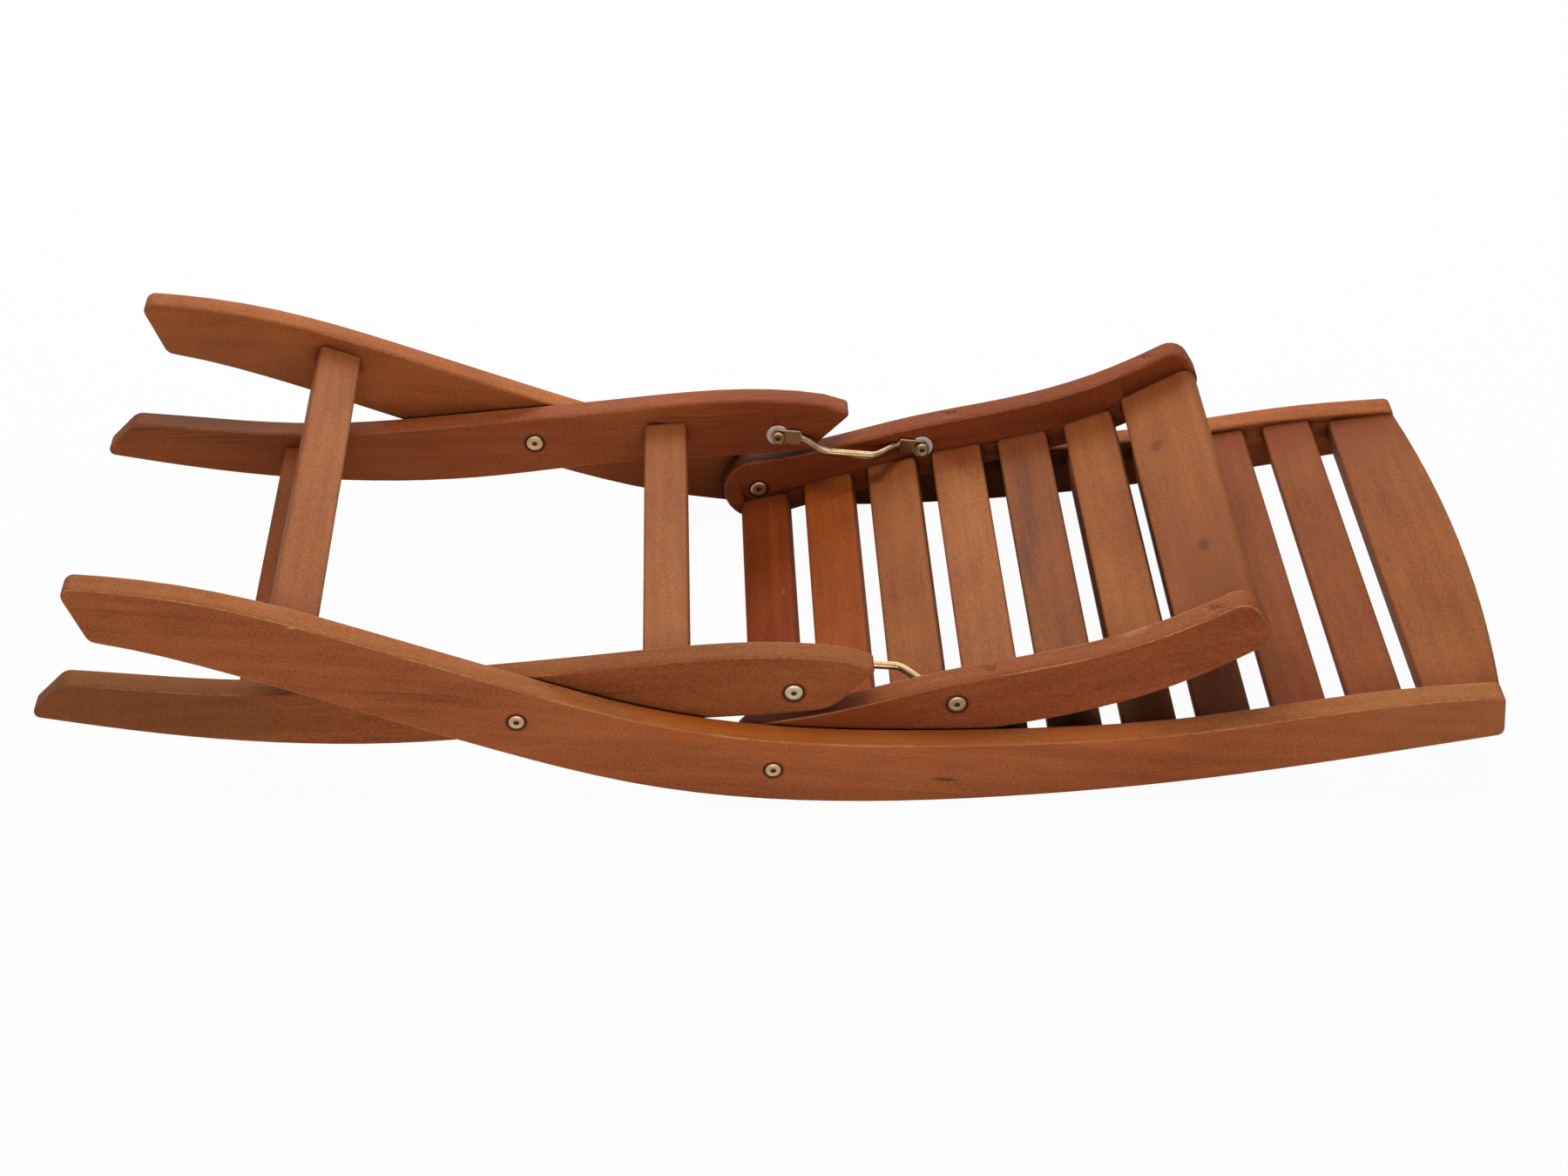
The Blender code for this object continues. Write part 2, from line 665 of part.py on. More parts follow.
def add_link_pivot(pivot, inner_face, engaged, nut_axis, bolt_axis):
    """Sleeve nut in the board from outside, bolt and washer on the link's tab from inside."""
    outer_seat = LAYER_OUTER - COUNTERBORE_DEPTH + RUNNING_GAP
    sleeve = outer_seat - inner_face - SLEEVE_SETBACK
    pivot.add_nut(outer_seat, 1, NUT_HEAD_RADIUS, sleeve, nut_axis)
    tab_outer = link_tab_outer(inner_face)
    bolt_seat = tab_outer - LINK_TAB_THICKNESS - RUNNING_GAP
    # Where the fold leaves the pivot open, the bolt ends short of the board
    bolt_end = inner_face + SLEEVE_SETBACK + BOLT_ENGAGEMENT if engaged else inner_face - RUNNING_GAP
    pivot.add_bolt(bolt_seat, -1, BOLT_HEAD_RADIUS, bolt_end - bolt_seat, bolt_axis)
    hole = BOLT_RADIUS + RUNNING_GAP
    pivot.add_washer(LINK_WASHER_RADIUS, hole, tab_outer + RUNNING_GAP, LINK_WASHER_THICKNESS, bolt_axis)


# Brass link

def smooth_step(share):
    share = min(max(share, 0.0), 1.0)
    return share * share * (3 - 2 * share)


def link_half(length):
    """Places from one end of the link to its middle: (run, half width, half thickness, bow)."""
    rows = []
    for i in range(1, LINK_STEPS):
        angle = math.pi / 2 * i / (LINK_STEPS - 1)
        run = -LINK_TAB_RADIUS * math.cos(angle)
        rows.append((run, LINK_TAB_RADIUS * math.sin(angle), LINK_TAB_THICKNESS / 2, 0.0))
    bow_start = (length - LINK_BOW_LENGTH) / 2
    ramp_start = bow_start - LINK_RAMP_LENGTH
    for i in range(LINK_STEPS):
        run = LINK_TAB_STRAIGHT + (ramp_start - LINK_TAB_STRAIGHT) * i / LINK_STEPS
        share = smooth_step((run - LINK_TAB_STRAIGHT) / (ramp_start - LINK_TAB_STRAIGHT))
        half_width = LINK_TAB_RADIUS + (LINK_ROD_RADIUS - LINK_TAB_RADIUS) * share
        half_thickness = LINK_TAB_THICKNESS / 2 + (LINK_ROD_RADIUS - LINK_TAB_THICKNESS / 2) * share
        rows.append((run, half_width, half_thickness, 0.0))
    for i in range(LINK_STEPS + 1):
        share = i / LINK_STEPS
        bow = LINK_BOW_DEPTH * smooth_step(share)
        rows.append((ramp_start + LINK_RAMP_LENGTH * share, LINK_ROD_RADIUS, LINK_ROD_RADIUS, bow))
    return rows


def link_rings(side, tab_middle):
    """Rings of the link from the leg's pivot to the seat's, bowed towards the middle of the chair."""
    start = np.array(LINK_LEG_PIVOT)
    length = math.dist(LINK_LEG_PIVOT, LINK_SEAT_PIVOT)
    along = (np.array(LINK_SEAT_PIVOT) - start) / length
    across = np.array((-along[1], along[0]))
    half = link_half(length)
    rows = np.array(half + [(length - run, *rest) for run, *rest in reversed(half)])
    slopes = np.gradient(rows[:, 3], rows[:, 0])
    rings = []
    for (run, half_width, half_thickness, bow), slope in zip(rows, slopes):
        lean = math.atan(slope)
        flatness = (half_width - half_thickness) / (LINK_TAB_RADIUS - LINK_TAB_THICKNESS / 2)
        power = 1.0 - LINK_TAB_SQUARENESS * max(flatness, 0.0)
        corners = []
        for i in range(LINK_SIDES):
            u, v = direction(2 * math.pi * i / LINK_SIDES)
            wide = math.copysign(abs(u) ** power, u) * half_width
            thick = math.copysign(abs(v) ** power, v) * half_thickness
            place = start + along * (run + thick * math.sin(lean)) + across * wide
            depth = tab_middle - bow + thick * math.cos(lean)
            corners.append((place[0], side * depth, place[1]))
        rings.append(corners)
    return rings


def add_link(side, word, material, axis):
    tab_middle = link_tab_outer(SEAT_INNER) - LINK_TAB_THICKNESS / 2
    link = add_object(f"link_{word}", [link_rings(side, tab_middle)], material, axis)
    low = side * (tab_middle - CUT_MARGIN)
    high = side * (tab_middle + CUT_MARGIN)
    hole = BOLT_RADIUS + RUNNING_GAP
    add_cut(link, [rod(centre, hole, low, high) for centre in (LINK_LEG_PIVOT, LINK_SEAT_PIVOT)])


# Frames

def add_back_frame(axes, materials):
    crest, slats = back_bars()
    offset = from_front(FOOT_STRETCHER_RECESS, STRETCHER_THICKNESS)
    foot = stretcher(LONG_RAIL, FOOT_STRETCHER_X, offset)
    for side, word in LEFT_AND_RIGHT:
        low, high = sorted((side * RAIL_INNER, side * RAIL_OUTER))
        board = slab(long_rail_outline(), low, high)
        rail = add_object(f"long_rail_{word}", [board], materials["rail"], axes["back"])
        cuts = [bar.mortise(RAIL_INNER, side) for bar in [crest, foot, *slats]]
        for pivot in (LEG_PIVOT, SEAT_PIVOT):
            cuts.append(bore(pivot, side, RAIL_INNER, RAIL_OUTER, BOLT_HEAD_RADIUS))
        add_cut(rail, cuts)
    for number, slat in enumerate(slats, 1):
        add_object(f"back_slat_{number}", [slat.plain(RAIL_INNER)], materials["slat"], axes["back"])
    add_object("foot_stretcher", [foot.plain(RAIL_INNER)], materials["rail"], axes["back"])
    add_object("crest_rail", [crest_rings(crest)], materials["slat"], axes["back"])


def crest_rings(crest):
    """The crest, whose top edge arches up from the rail ends to the middle of the back."""
    shoulder = RAIL_INNER - JOINT_GAP
    body = []
    for distance in spread(-shoulder, shoulder, CREST_STEPS + 1):
        rise = CREST_RISE * (1 - (distance / shoulder) ** 2)
        radii = (SLAT_ARRIS,) * 4
        section = crest.section(CREST_WIDTH + rise, CREST_THICKNESS, radii, ARRIS_STEPS, rise / 2)
        body.append((section, distance))
    return crest.rings(RAIL_INNER, body, ARRIS_STEPS)


def add_leg_frame(axes, materials):
    upper = stretcher(LEG, UPPER_STRETCHER_X, centred)
    lower = stretcher(LEG, LOWER_STRETCHER_X, centred)
    for side, word in LEFT_AND_RIGHT:
        low, high = sorted((side * LEG_INNER, side * LAYER_OUTER))
        board = slab(leg_outline(), low, high)
        leg = add_object(f"rear_leg_{word}", [board], materials["rail"], axes["leg"])
        cuts = [bar.mortise(LEG_INNER, side) for bar in (upper, lower)]
        cuts.append(bore(LEG_PIVOT, side, LAYER_OUTER, LEG_INNER, NUT_HEAD_RADIUS))
        cuts.append(bore(LINK_LEG_PIVOT, side, LEG_INNER, LAYER_OUTER, NUT_HEAD_RADIUS))
        add_cut(leg, cuts)
    add_object("upper_leg_stretcher", [upper.plain(LEG_INNER)], materials["rail"], axes["leg"])
    add_object("lower_leg_stretcher", [lower.plain(LEG_INNER)], materials["rail"], axes["leg"])


def pin_rings(bar, side, radius, depth, proud):
    """A round pin square to the seat rail's underside, over the middle of a slat's tenon."""
    distance = SEAT_RAIL.distance_at(bar.centre[0])
    centre, along, front, width = SEAT_RAIL.place(distance)
    middle = (LAYER_OUTER + SEAT_INNER) / 2
    rings = []
    for height in (width / 2 - depth, width / 2 + proud):
        corners = []
        for i in range(ROUND_SIDES):
            u, v = radius * direction(2 * math.pi * i / ROUND_SIDES)
            place = centre + along * u + front * height
            corners.append((place[0], side * (middle + v), place[1]))
        rings.append(corners)
    return rings


def add_seat_frame(axes, materials):
    front, slats = seat_bars()
    pinned = {"front": front, "middle": slats[len(slats) // 2]}
    for side, word in LEFT_AND_RIGHT:
        low, high = sorted((side * SEAT_INNER, side * LAYER_OUTER))
        board = slab(seat_rail_outline(), low, high)
        rail = add_object(f"seat_rail_{word}", [board], materials["rail"], axes["seat"])
        cuts = [bar.mortise(SEAT_INNER, side) for bar in [front, *slats]]
        cuts.append(bore(SEAT_PIVOT, side, LAYER_OUTER, SEAT_INNER, NUT_HEAD_RADIUS))
        cuts.append(bore(LINK_SEAT_PIVOT, side, SEAT_INNER, LAYER_OUTER, NUT_HEAD_RADIUS))
        for place, bar in pinned.items():
            cuts.append(pin_rings(bar, side, PIN_RADIUS + JOINT_GAP, PIN_LENGTH + JOINT_GAP, CUT_MARGIN))
            pin = pin_rings(bar, side, PIN_RADIUS, PIN_LENGTH, 0.0)
            add_object(f"seat_pin_{place}_{word}", [pin], materials["pin"], axes["seat"])
        add_cut(rail, cuts)
    for number, slat in enumerate(slats, 1):
        arris = SEAT_REAR_SLAT_ARRIS if number == 1 else SLAT_ARRIS
        rings = slat.plain(SEAT_INNER, (arris,) * 4)
        add_object(f"seat_slat_{number}", [rings], materials["slat"], axes["seat"])
    radii = (FRONT_SLAT_NOSE_RADIUS, SLAT_ARRIS, SLAT_ARRIS, FRONT_SLAT_NOSE_RADIUS)
    rings = front.plain(SEAT_INNER, radii, NOSE_STEPS)
    add_object("seat_front_slat", [rings], materials["slat"], axes["seat"])


def add_hardware(axes, materials):
    for side, word in LEFT_AND_RIGHT:
        link_axis = axes["link_" + word]
        add_link(side, word, materials["brass"], link_axis)
        leg = Pivot("leg_pivot", LEG_PIVOT, side, word, materials)
        seat = Pivot("seat_pivot", SEAT_PIVOT, side, word, materials)
        link_leg = Pivot("link_leg", LINK_LEG_PIVOT, side, word, materials)
        link_seat = Pivot("link_seat", LINK_SEAT_PIVOT, side, word, materials)
        add_rail_pivot(leg, LEG_INNER, axes["back"])
        add_rail_pivot(seat, SEAT_INNER, axes["back"])
        add_link_pivot(link_leg, LEG_INNER, False, axes["leg"], link_axis)
        add_link_pivot(link_seat, SEAT_INNER, True, axes["seat"], axes["seat"])


# The whole chair

def add_axis(name, parent, place):
    """An empty on a joint's axis, at a side-view place in the folded drawing."""
    axis = bpy.data.objects.new(name, None)
    bpy.context.collection.objects.link(axis)
    axis["drawing_place"] = (place[0], 0.0, place[1])
    if parent:
        above = parent["drawing_place"]
        axis.parent = parent
        axis.location = [here - there for here, there in zip(axis["drawing_place"], above)]
    return axis


def lying_tilt():
    """Turn that lays flat the stretch of the long rails' backs which the folded chair balances on."""
    edge = LONG_RAIL.edge(-1, LONG_RAIL_STEPS)
    steps = np.diff(edge, axis=0)
    shares = ((CENTRE_OF_MASS - edge[:-1]) * steps).sum(axis=1) / (steps**2).sum(axis=1)
    under = int(np.argmin(np.abs(shares - 0.5)))
    return angle_of(steps[under])


def set_down(chair):
    """Tilts the folded chair to its balance and puts the origin under the middle of its box."""
    chair.rotation_euler.y = lying_tilt()
    bpy.context.view_layer.update()
    corners = []
    for thing in bpy.data.objects:
        if thing.type == "MESH" and not thing.hide_render:
            corners += [thing.matrix_world @ vertex.co for vertex in thing.data.vertices]
    corners = np.array(corners)
    low = corners.min(axis=0)
    high = corners.max(axis=0)
    chair.location = (-(low[0] + high[0]) / 2, 0.0, -low[2])


def main():
    for thing in list(bpy.data.objects):
        bpy.data.objects.remove(thing)
    materials = {
        "rail": add_material("stained_hardwood_rails", (0.32, 0.105, 0.040), 0.45, 0.0),
        "slat": add_material("stained_hardwood_slats", (0.29, 0.088, 0.033), 0.45, 0.0),
        "pin": add_material("wooden_pins", (0.15, 0.050, 0.022), 0.6, 0.0),
        "brass": add_material("pale_brass", (0.62, 0.47, 0.27), 0.3, 1.0),
        "nylon": add_material("grey_nylon", (0.55, 0.54, 0.50), 0.5, 0.0),
    }
    chair = add_axis("folding_chair", None, SEAT_PIVOT)
    seat = add_axis("seat_axis", chair, SEAT_PIVOT)
    axes = {"back": chair, "seat": seat, "leg": add_axis("leg_axis", chair, LEG_PIVOT)}
    for side, word in LEFT_AND_RIGHT:
        axes["link_" + word] = add_axis(f"link_axis_{word}", seat, LINK_SEAT_PIVOT)
    add_back_frame(axes, materials)
    add_leg_frame(axes, materials)
    add_seat_frame(axes, materials)
    add_hardware(axes, materials)
    set_down(chair)


main()
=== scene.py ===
# Looks of the wooden folding chair: oiled boards, brass pivots and nylon washers in a white studio.
# Metres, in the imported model's frame: +X from the feet to the top of the back, +Z up.

import json
import math

import bmesh
import bpy
from mathutils import Euler, Matrix, Vector

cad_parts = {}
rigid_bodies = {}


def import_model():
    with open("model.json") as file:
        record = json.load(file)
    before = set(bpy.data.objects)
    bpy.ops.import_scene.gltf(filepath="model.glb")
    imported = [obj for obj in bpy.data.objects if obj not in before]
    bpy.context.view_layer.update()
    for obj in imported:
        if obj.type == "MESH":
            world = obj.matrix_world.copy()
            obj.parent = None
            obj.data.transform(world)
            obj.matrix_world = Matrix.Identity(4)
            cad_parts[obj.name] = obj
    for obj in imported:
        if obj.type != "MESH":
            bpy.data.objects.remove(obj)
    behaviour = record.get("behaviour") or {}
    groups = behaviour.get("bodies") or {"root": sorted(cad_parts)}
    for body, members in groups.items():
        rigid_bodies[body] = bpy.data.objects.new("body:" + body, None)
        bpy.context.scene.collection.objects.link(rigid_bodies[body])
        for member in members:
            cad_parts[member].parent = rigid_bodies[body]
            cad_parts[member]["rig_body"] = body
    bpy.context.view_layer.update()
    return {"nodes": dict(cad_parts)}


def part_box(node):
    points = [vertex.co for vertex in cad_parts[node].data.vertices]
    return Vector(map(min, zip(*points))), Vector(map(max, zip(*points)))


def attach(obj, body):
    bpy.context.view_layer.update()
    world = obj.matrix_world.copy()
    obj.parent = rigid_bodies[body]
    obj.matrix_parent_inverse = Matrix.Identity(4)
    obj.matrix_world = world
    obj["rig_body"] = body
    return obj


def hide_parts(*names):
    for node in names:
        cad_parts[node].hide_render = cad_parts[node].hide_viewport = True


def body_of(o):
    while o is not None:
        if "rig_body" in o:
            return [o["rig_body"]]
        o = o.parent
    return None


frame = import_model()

# Each side of the chair, and the sign of Y there
SIDES = {"left": -1, "right": 1}

# Camera, aimed at a place measured from the middle of the seat pivots
CAMERA_AIM = Vector((0.0158, 0.0, 0.0167))
CAMERA_DISTANCE = 2.320
CAMERA_AZIMUTH = math.radians(-2.553)
CAMERA_ELEVATION = math.radians(35.972)
CAMERA_ROLL = math.radians(0.866)
CAMERA_LENS = 64.41
SENSOR_WIDTH = 36.0

# Studio
FLOOR_SIZE = 14.0
FLOOR_DROP = 0.0005
FLOOR_SEEN_COLOUR = (0.96, 0.955, 0.95, 1.0)
FLOOR_BOUNCE_COLOUR = (0.80, 0.79, 0.78, 1.0)
FLOOR_WHITE_SHARE = 0.96
WHITE_STRENGTH = 1.0
SKY_COLOUR = (1.0, 0.99, 0.97, 1.0)
SKY_STRENGTH = 0.05
# Lamps: place, size and power in watts
LAMPS = {
    "wall_behind": ((0.0, 2.6, 0.9), 2.6, 88.0),
    "above": ((0.0, 0.1, 2.4), 1.4, 32.0),
    "fill_front": ((0.0, -2.8, 0.5), 1.4, 38.0),
}
LAMP_TARGET = (0.0, 0.0, 0.1)

# Meshes: edges that turn less than the smooth turn shade as one,
# and edges between the arris turns are the ones that wear
WELD_DISTANCE = 0.000002
SMOOTH_TURN = math.radians(50)
ARRIS_TURNS = (math.radians(33), math.radians(60))
NOSE_ARRIS_TURNS = (math.radians(17), math.radians(60))
EVEN_SHADING_WEIGHT = 100

# Bolts, nuts and washers: radii and heights as in the solids, with softer rims
ROUND_SIDES = 48
HEAD_HEIGHT = 0.0025
HEAD_RIM_HEIGHT = 0.0014
HEAD_FLAT_SHARE = 0.72
HEAD_EDGE_STEPS = 4
HEAD_CHAMFER = 0.0002
SOCKET_FLATS = 6
SOCKET_RADIUS = 0.0022
SOCKET_DEPTH = 0.0015
SOCKET_LEAD_IN = 0.0003
BOLT_RADIUS = 0.003
SLEEVE_RADIUS = 0.0042
WASHER_EDGE = 0.0003

# Brass link: places as in the solids, with longer tabs, sharper shoulders and a fuller rod
LINK_SIDES = 32
LINK_STEPS = 14
LINK_TAB_RADIUS = 0.007
LINK_TAB_END = 0.0052
LINK_TAB_THICKNESS = 0.003
LINK_TAB_STRAIGHT = 0.0190
LINK_TAB_SQUARENESS = 0.75
LINK_SHOULDER = 0.003
LINK_BEND_EASE = 0.004
LINK_ROD_RADIUS = 0.0033
LINK_BOW_LENGTH = 0.044
LINK_BOW_DEPTH = 0.020
LINK_RAMP_LENGTH = 0.019


# Shader nodes

# Places of the colour sockets on a Mix node
MIX_INPUTS = (0, 6, 7)
MIX_RESULT = 2
NOISE_MIDDLE = 0.5


class Nodes:
    """A shader tree, with short calls for the nodes that the finishes share."""

    def __init__(self, tree):
        self.tree = tree

    def set(self, socket, value):
        if isinstance(value, bpy.types.NodeSocket):
            self.tree.links.new(value, socket)
        else:
            socket.default_value = value

    def add(self, kind, inputs, **settings):
        node = self.tree.nodes.new("ShaderNode" + kind)
        for name, value in settings.items():
            setattr(node, name, value)
        for name, value in inputs.items():
            self.set(node.inputs[name], value)
        return node

    def coordinate(self, name):
        return self.add("TexCoord", {}).outputs[name]

    def math(self, operation, first, second=0.0):
        return self.add("Math", {0: first, 1: second}, operation=operation).outputs[0]

    def vector(self, operation, first, second):
        return self.add("VectorMath", {0: first, 1: second}, operation=operation).outputs["Vector"]

    def length(self, vector):
        return self.add("VectorMath", {0: vector}, operation="LENGTH").outputs["Value"]

    def axis(self, vector, name):
        return self.add("SeparateXYZ", {0: vector}).outputs[name]

    def noise(self, place, features, detail, roughness, output="Fac"):
        """Noise with a number of features in a metre on each axis."""
        place = self.vector("MULTIPLY", place, features)
        inputs = {"Vector": place, "Scale": 1.0, "Detail": detail, "Roughness": roughness}
        return self.add("TexNoise", inputs).outputs[output]

    def rings(self, place, wave, axis):
        """Rings round an axis, with the scale, distortion and detail of the wave."""
        inputs = {"Vector": place, **wave}
        return self.add("TexWave", inputs, wave_type="RINGS", rings_direction=axis).outputs["Fac"]

    def ramp(self, value, limits, full=1.0, least=0.0):
        """A smooth step from least to full while the value goes from one limit to the other."""
        start, end = limits
        inputs = {"Value": value, "From Min": start, "From Max": end, "To Min": least, "To Max": full}
        return self.add("MapRange", inputs, interpolation_type="SMOOTHSTEP").outputs["Result"]

    def departures(self, parts):
        """The middle, plus how far each value is from it times the gain beside the value."""
        total = NOISE_MIDDLE
        for value, gain in parts:
            step = self.math("MULTIPLY", self.math("SUBTRACT", value, NOISE_MIDDLE), gain)
            total = self.math("ADD", step, total)
        return total

    def mix(self, share, first, second, blend="MIX"):
        node = self.add("Mix", {}, data_type="RGBA", blend_type=blend)
        for place, value in zip(MIX_INPUTS, (share, first, second)):
            self.set(node.inputs[place], value)
        return node.outputs[MIX_RESULT]

    def from_axis(self, place):
        """Distance from the Y axis."""
        return self.length(self.vector("MULTIPLY", place, (1.0, 0.0, 1.0)))

    def seen_directly(self):
        """1 for rays from the camera, a mirror or glass, and 0 for light that falls on things."""
        path = self.add("LightPath", {})
        seen = self.math("MAXIMUM", path.outputs["Is Camera Ray"], path.outputs["Is Glossy Ray"])
        return self.math("MAXIMUM", seen, path.outputs["Is Transmission Ray"])


class Finish(Nodes):
    """One material, its main shader and the layers of its colour."""

    def __init__(self, name):
        self.material = bpy.data.materials.new(name)
        self.material.use_nodes = True
        super().__init__(self.material.node_tree)
        self.surface = self.tree.nodes["Principled BSDF"]
        self.colour = None

    def lay(self, share, colour, blend="MIX"):
        """One more layer of colour, where the share says."""
        self.colour = self.mix(share, self.colour, colour, blend)

    def apply(self, roughness, height, strength, distance):
        """The colour so far, a roughness and a bump, on the shader."""
        bump = self.add("Bump", {"Height": height, "Strength": strength, "Distance": distance})
        self.set(self.surface.inputs["Base Color"], self.colour)
        self.set(self.surface.inputs["Roughness"], roughness)
        self.set(self.surface.inputs["Normal"], bump.outputs["Normal"])


# Wood colours

STREAK_COLOUR = (0.120, 0.052, 0.030, 1.0)
PORE_COLOUR = (0.110, 0.034, 0.013, 1.0)
KNOT_COLOUR = (0.085, 0.032, 0.016, 1.0)
STAIN_COLOUR = (0.100, 0.046, 0.028, 1.0)
FOOT_SHADE_COLOUR = (0.155, 0.056, 0.024, 1.0)
NICK_COLOUR = (0.560, 0.270, 0.120, 1.0)
WORN_COLOUR = (0.520, 0.235, 0.098, 1.0)
END_GRAIN_COLOUR = (0.170, 0.066, 0.028, 1.0)
# Dirt in joints, and painted shade in crevices and round heads
GRIME_AND_SHADE_COLOUR = (0.042, 0.011, 0.004, 1.0)
RED_BAND_COLOUR = (0.330, 0.064, 0.010, 1.0)
# Painted light: orange light thrown back onto the near rail's top face
ORANGE_BOUNCE_LIGHT_COLOUR = (0.540, 0.118, 0.016, 1.0)
PALE_ORANGE_BOUNCE_LIGHT_COLOUR = (0.600, 0.150, 0.038, 1.0)
RED_SHADE_COLOUR = (0.215, 0.042, 0.010, 1.0)
BROWN_SHADE_COLOUR = (0.255, 0.074, 0.025, 1.0)
ROSY_TINT = (0.88, 0.79, 0.80, 1.0)
EDGE_TINT = (1.14, 1.29, 1.18, 1.0)
PALE_GAINS = (1.36, 1.44, 1.46)
DARK_GAINS = (0.62, 0.54, 0.54)


class Tone:
    """The pale and the dark figure of a board, round its usual colour."""

    def __init__(self, *usual):
        self.pale = (*(share * gain for share, gain in zip(usual, PALE_GAINS)), 1.0)
        self.dark = (*(share * gain for share, gain in zip(usual, DARK_GAINS)), 1.0)


class Mark:
    """A knot, streak, stain, nick, painted shade or painted light: its place, and its size along and
    across the fibres.
    """

    def __init__(self, place, along, across, colour, strength):
        self.place = Vector(place)
        self.size = (along, across, across)
        self.colour = colour
        self.strength = strength


class Look:
    """What sets one board apart: tone, streaks, wear, marks, pale edges and painted crevice shade.

    Crevice shade is the open share of sky at which the painted shade begins, and how dark it gets."""

    def __init__(self, tone, streaks=0.22, wear=0.35, marks=(), pale_edges=0.0, crevice_shade=(0.50, 0.75)):
        self.tone = tone
        self.streaks = streaks
        self.wear = wear
        self.marks = marks
        self.pale_edges = pale_edges
        self.crevice_shade = crevice_shade


# Wood

# Noises: features in a metre along and across the fibres, detail and roughness
SWAY_NOISE = ((3.5, 12.0, 12.0), 2.0, 0.55)
BLOTCH_NOISE = ((9.0, 24.0, 24.0), 3.0, 0.55)
FIBRE_NOISE = ((14.0, 480.0, 480.0), 4.0, 0.65)
MOTTLE_NOISE = ((420.0, 620.0, 620.0), 2.0, 0.60)
STREAK_NOISE = ((5.0, 85.0, 85.0), 3.0, 0.55)
PORE_NOISE = ((130.0, 1500.0, 1500.0), 1.0, 0.55)
DRIFT_NOISE = ((5.0, 9.0, 9.0), 2.0, 0.55)
STRETCH_NOISE = ((9.0, 4.0, 4.0), 2.0, 0.55)
CHIP_NOISE = ((150.0, 400.0, 400.0), 3.0, 0.60)
SEED_SHIFTS = (1.7, 0.61, 0.37)
SWAY_REACH = (0.0, 0.016, 0.016)
RING_STRETCH = (0.10, 1.0, 1.0)
RING_WAVE = {"Scale": 30.0, "Distortion": 4.0, "Detail": 3.0, "Detail Scale": 1.2}
BLOTCH_GAIN = 0.95
FIBRE_GAIN = 0.65
MOTTLE_GAIN = 1.40
RING_GAIN = 0.10
MARK_FIBRE_GAIN = 1.5

# Where each layer begins and where it is full, and its share there
ROSY_LIMITS = (0.50, 0.70)
ROSY_SHARE = 0.5
STREAK_LIMITS = (0.60, 0.76)
PORE_LIMITS = (0.62, 0.76)
PORE_SHARE = 0.22
MARK_LIMITS = (1.0, 0.2)
NARROW_EDGE_LIMITS = (0.75, 0.35)
END_GRAIN_LIMITS = (0.70, 0.92)
END_GRAIN_SHARE = 0.5
STRETCH_LIMITS = (0.42, 0.56)
CHIP_LIMITS = (0.38, 0.54)
ARRIS_LIMITS = (0.35, 0.90)
LEAST_RUB = 0.30
MORE_RUB = 0.70

# Dirt and painted shade, by distance
TENON_LENGTH = 0.010
END_SHADE_WIDTH = 0.055
END_SHADE_SHARE = 0.45
JOINT_DIRT_WIDTH = 0.003
JOINT_DIRT_SHARE = 0.6
HEAD_SEAT_PLAY = 0.0008
HEAD_GAP_SHADE_WIDTH = 0.0027
HEAD_GAP_SHADE_SHARE = 0.85
CREVICE_REACH = 0.09
CREVICE_SAMPLES = 6
# Painted crevice shade is darkest at this share of the open sky at which it begins
CREVICE_FULL_SHARE = 0.30

# Oil
OIL_ROUGHNESS = (0.52, 0.68)
OIL_FIBRE_LIMITS = (0.25, 0.75)
OIL_SPECULAR = 0.05
PORE_DEPTH_LIMITS = (0.60, 0.75)
WOOD_BUMP_STRENGTH = 0.20
WOOD_BUMP_DEPTH = 0.0004


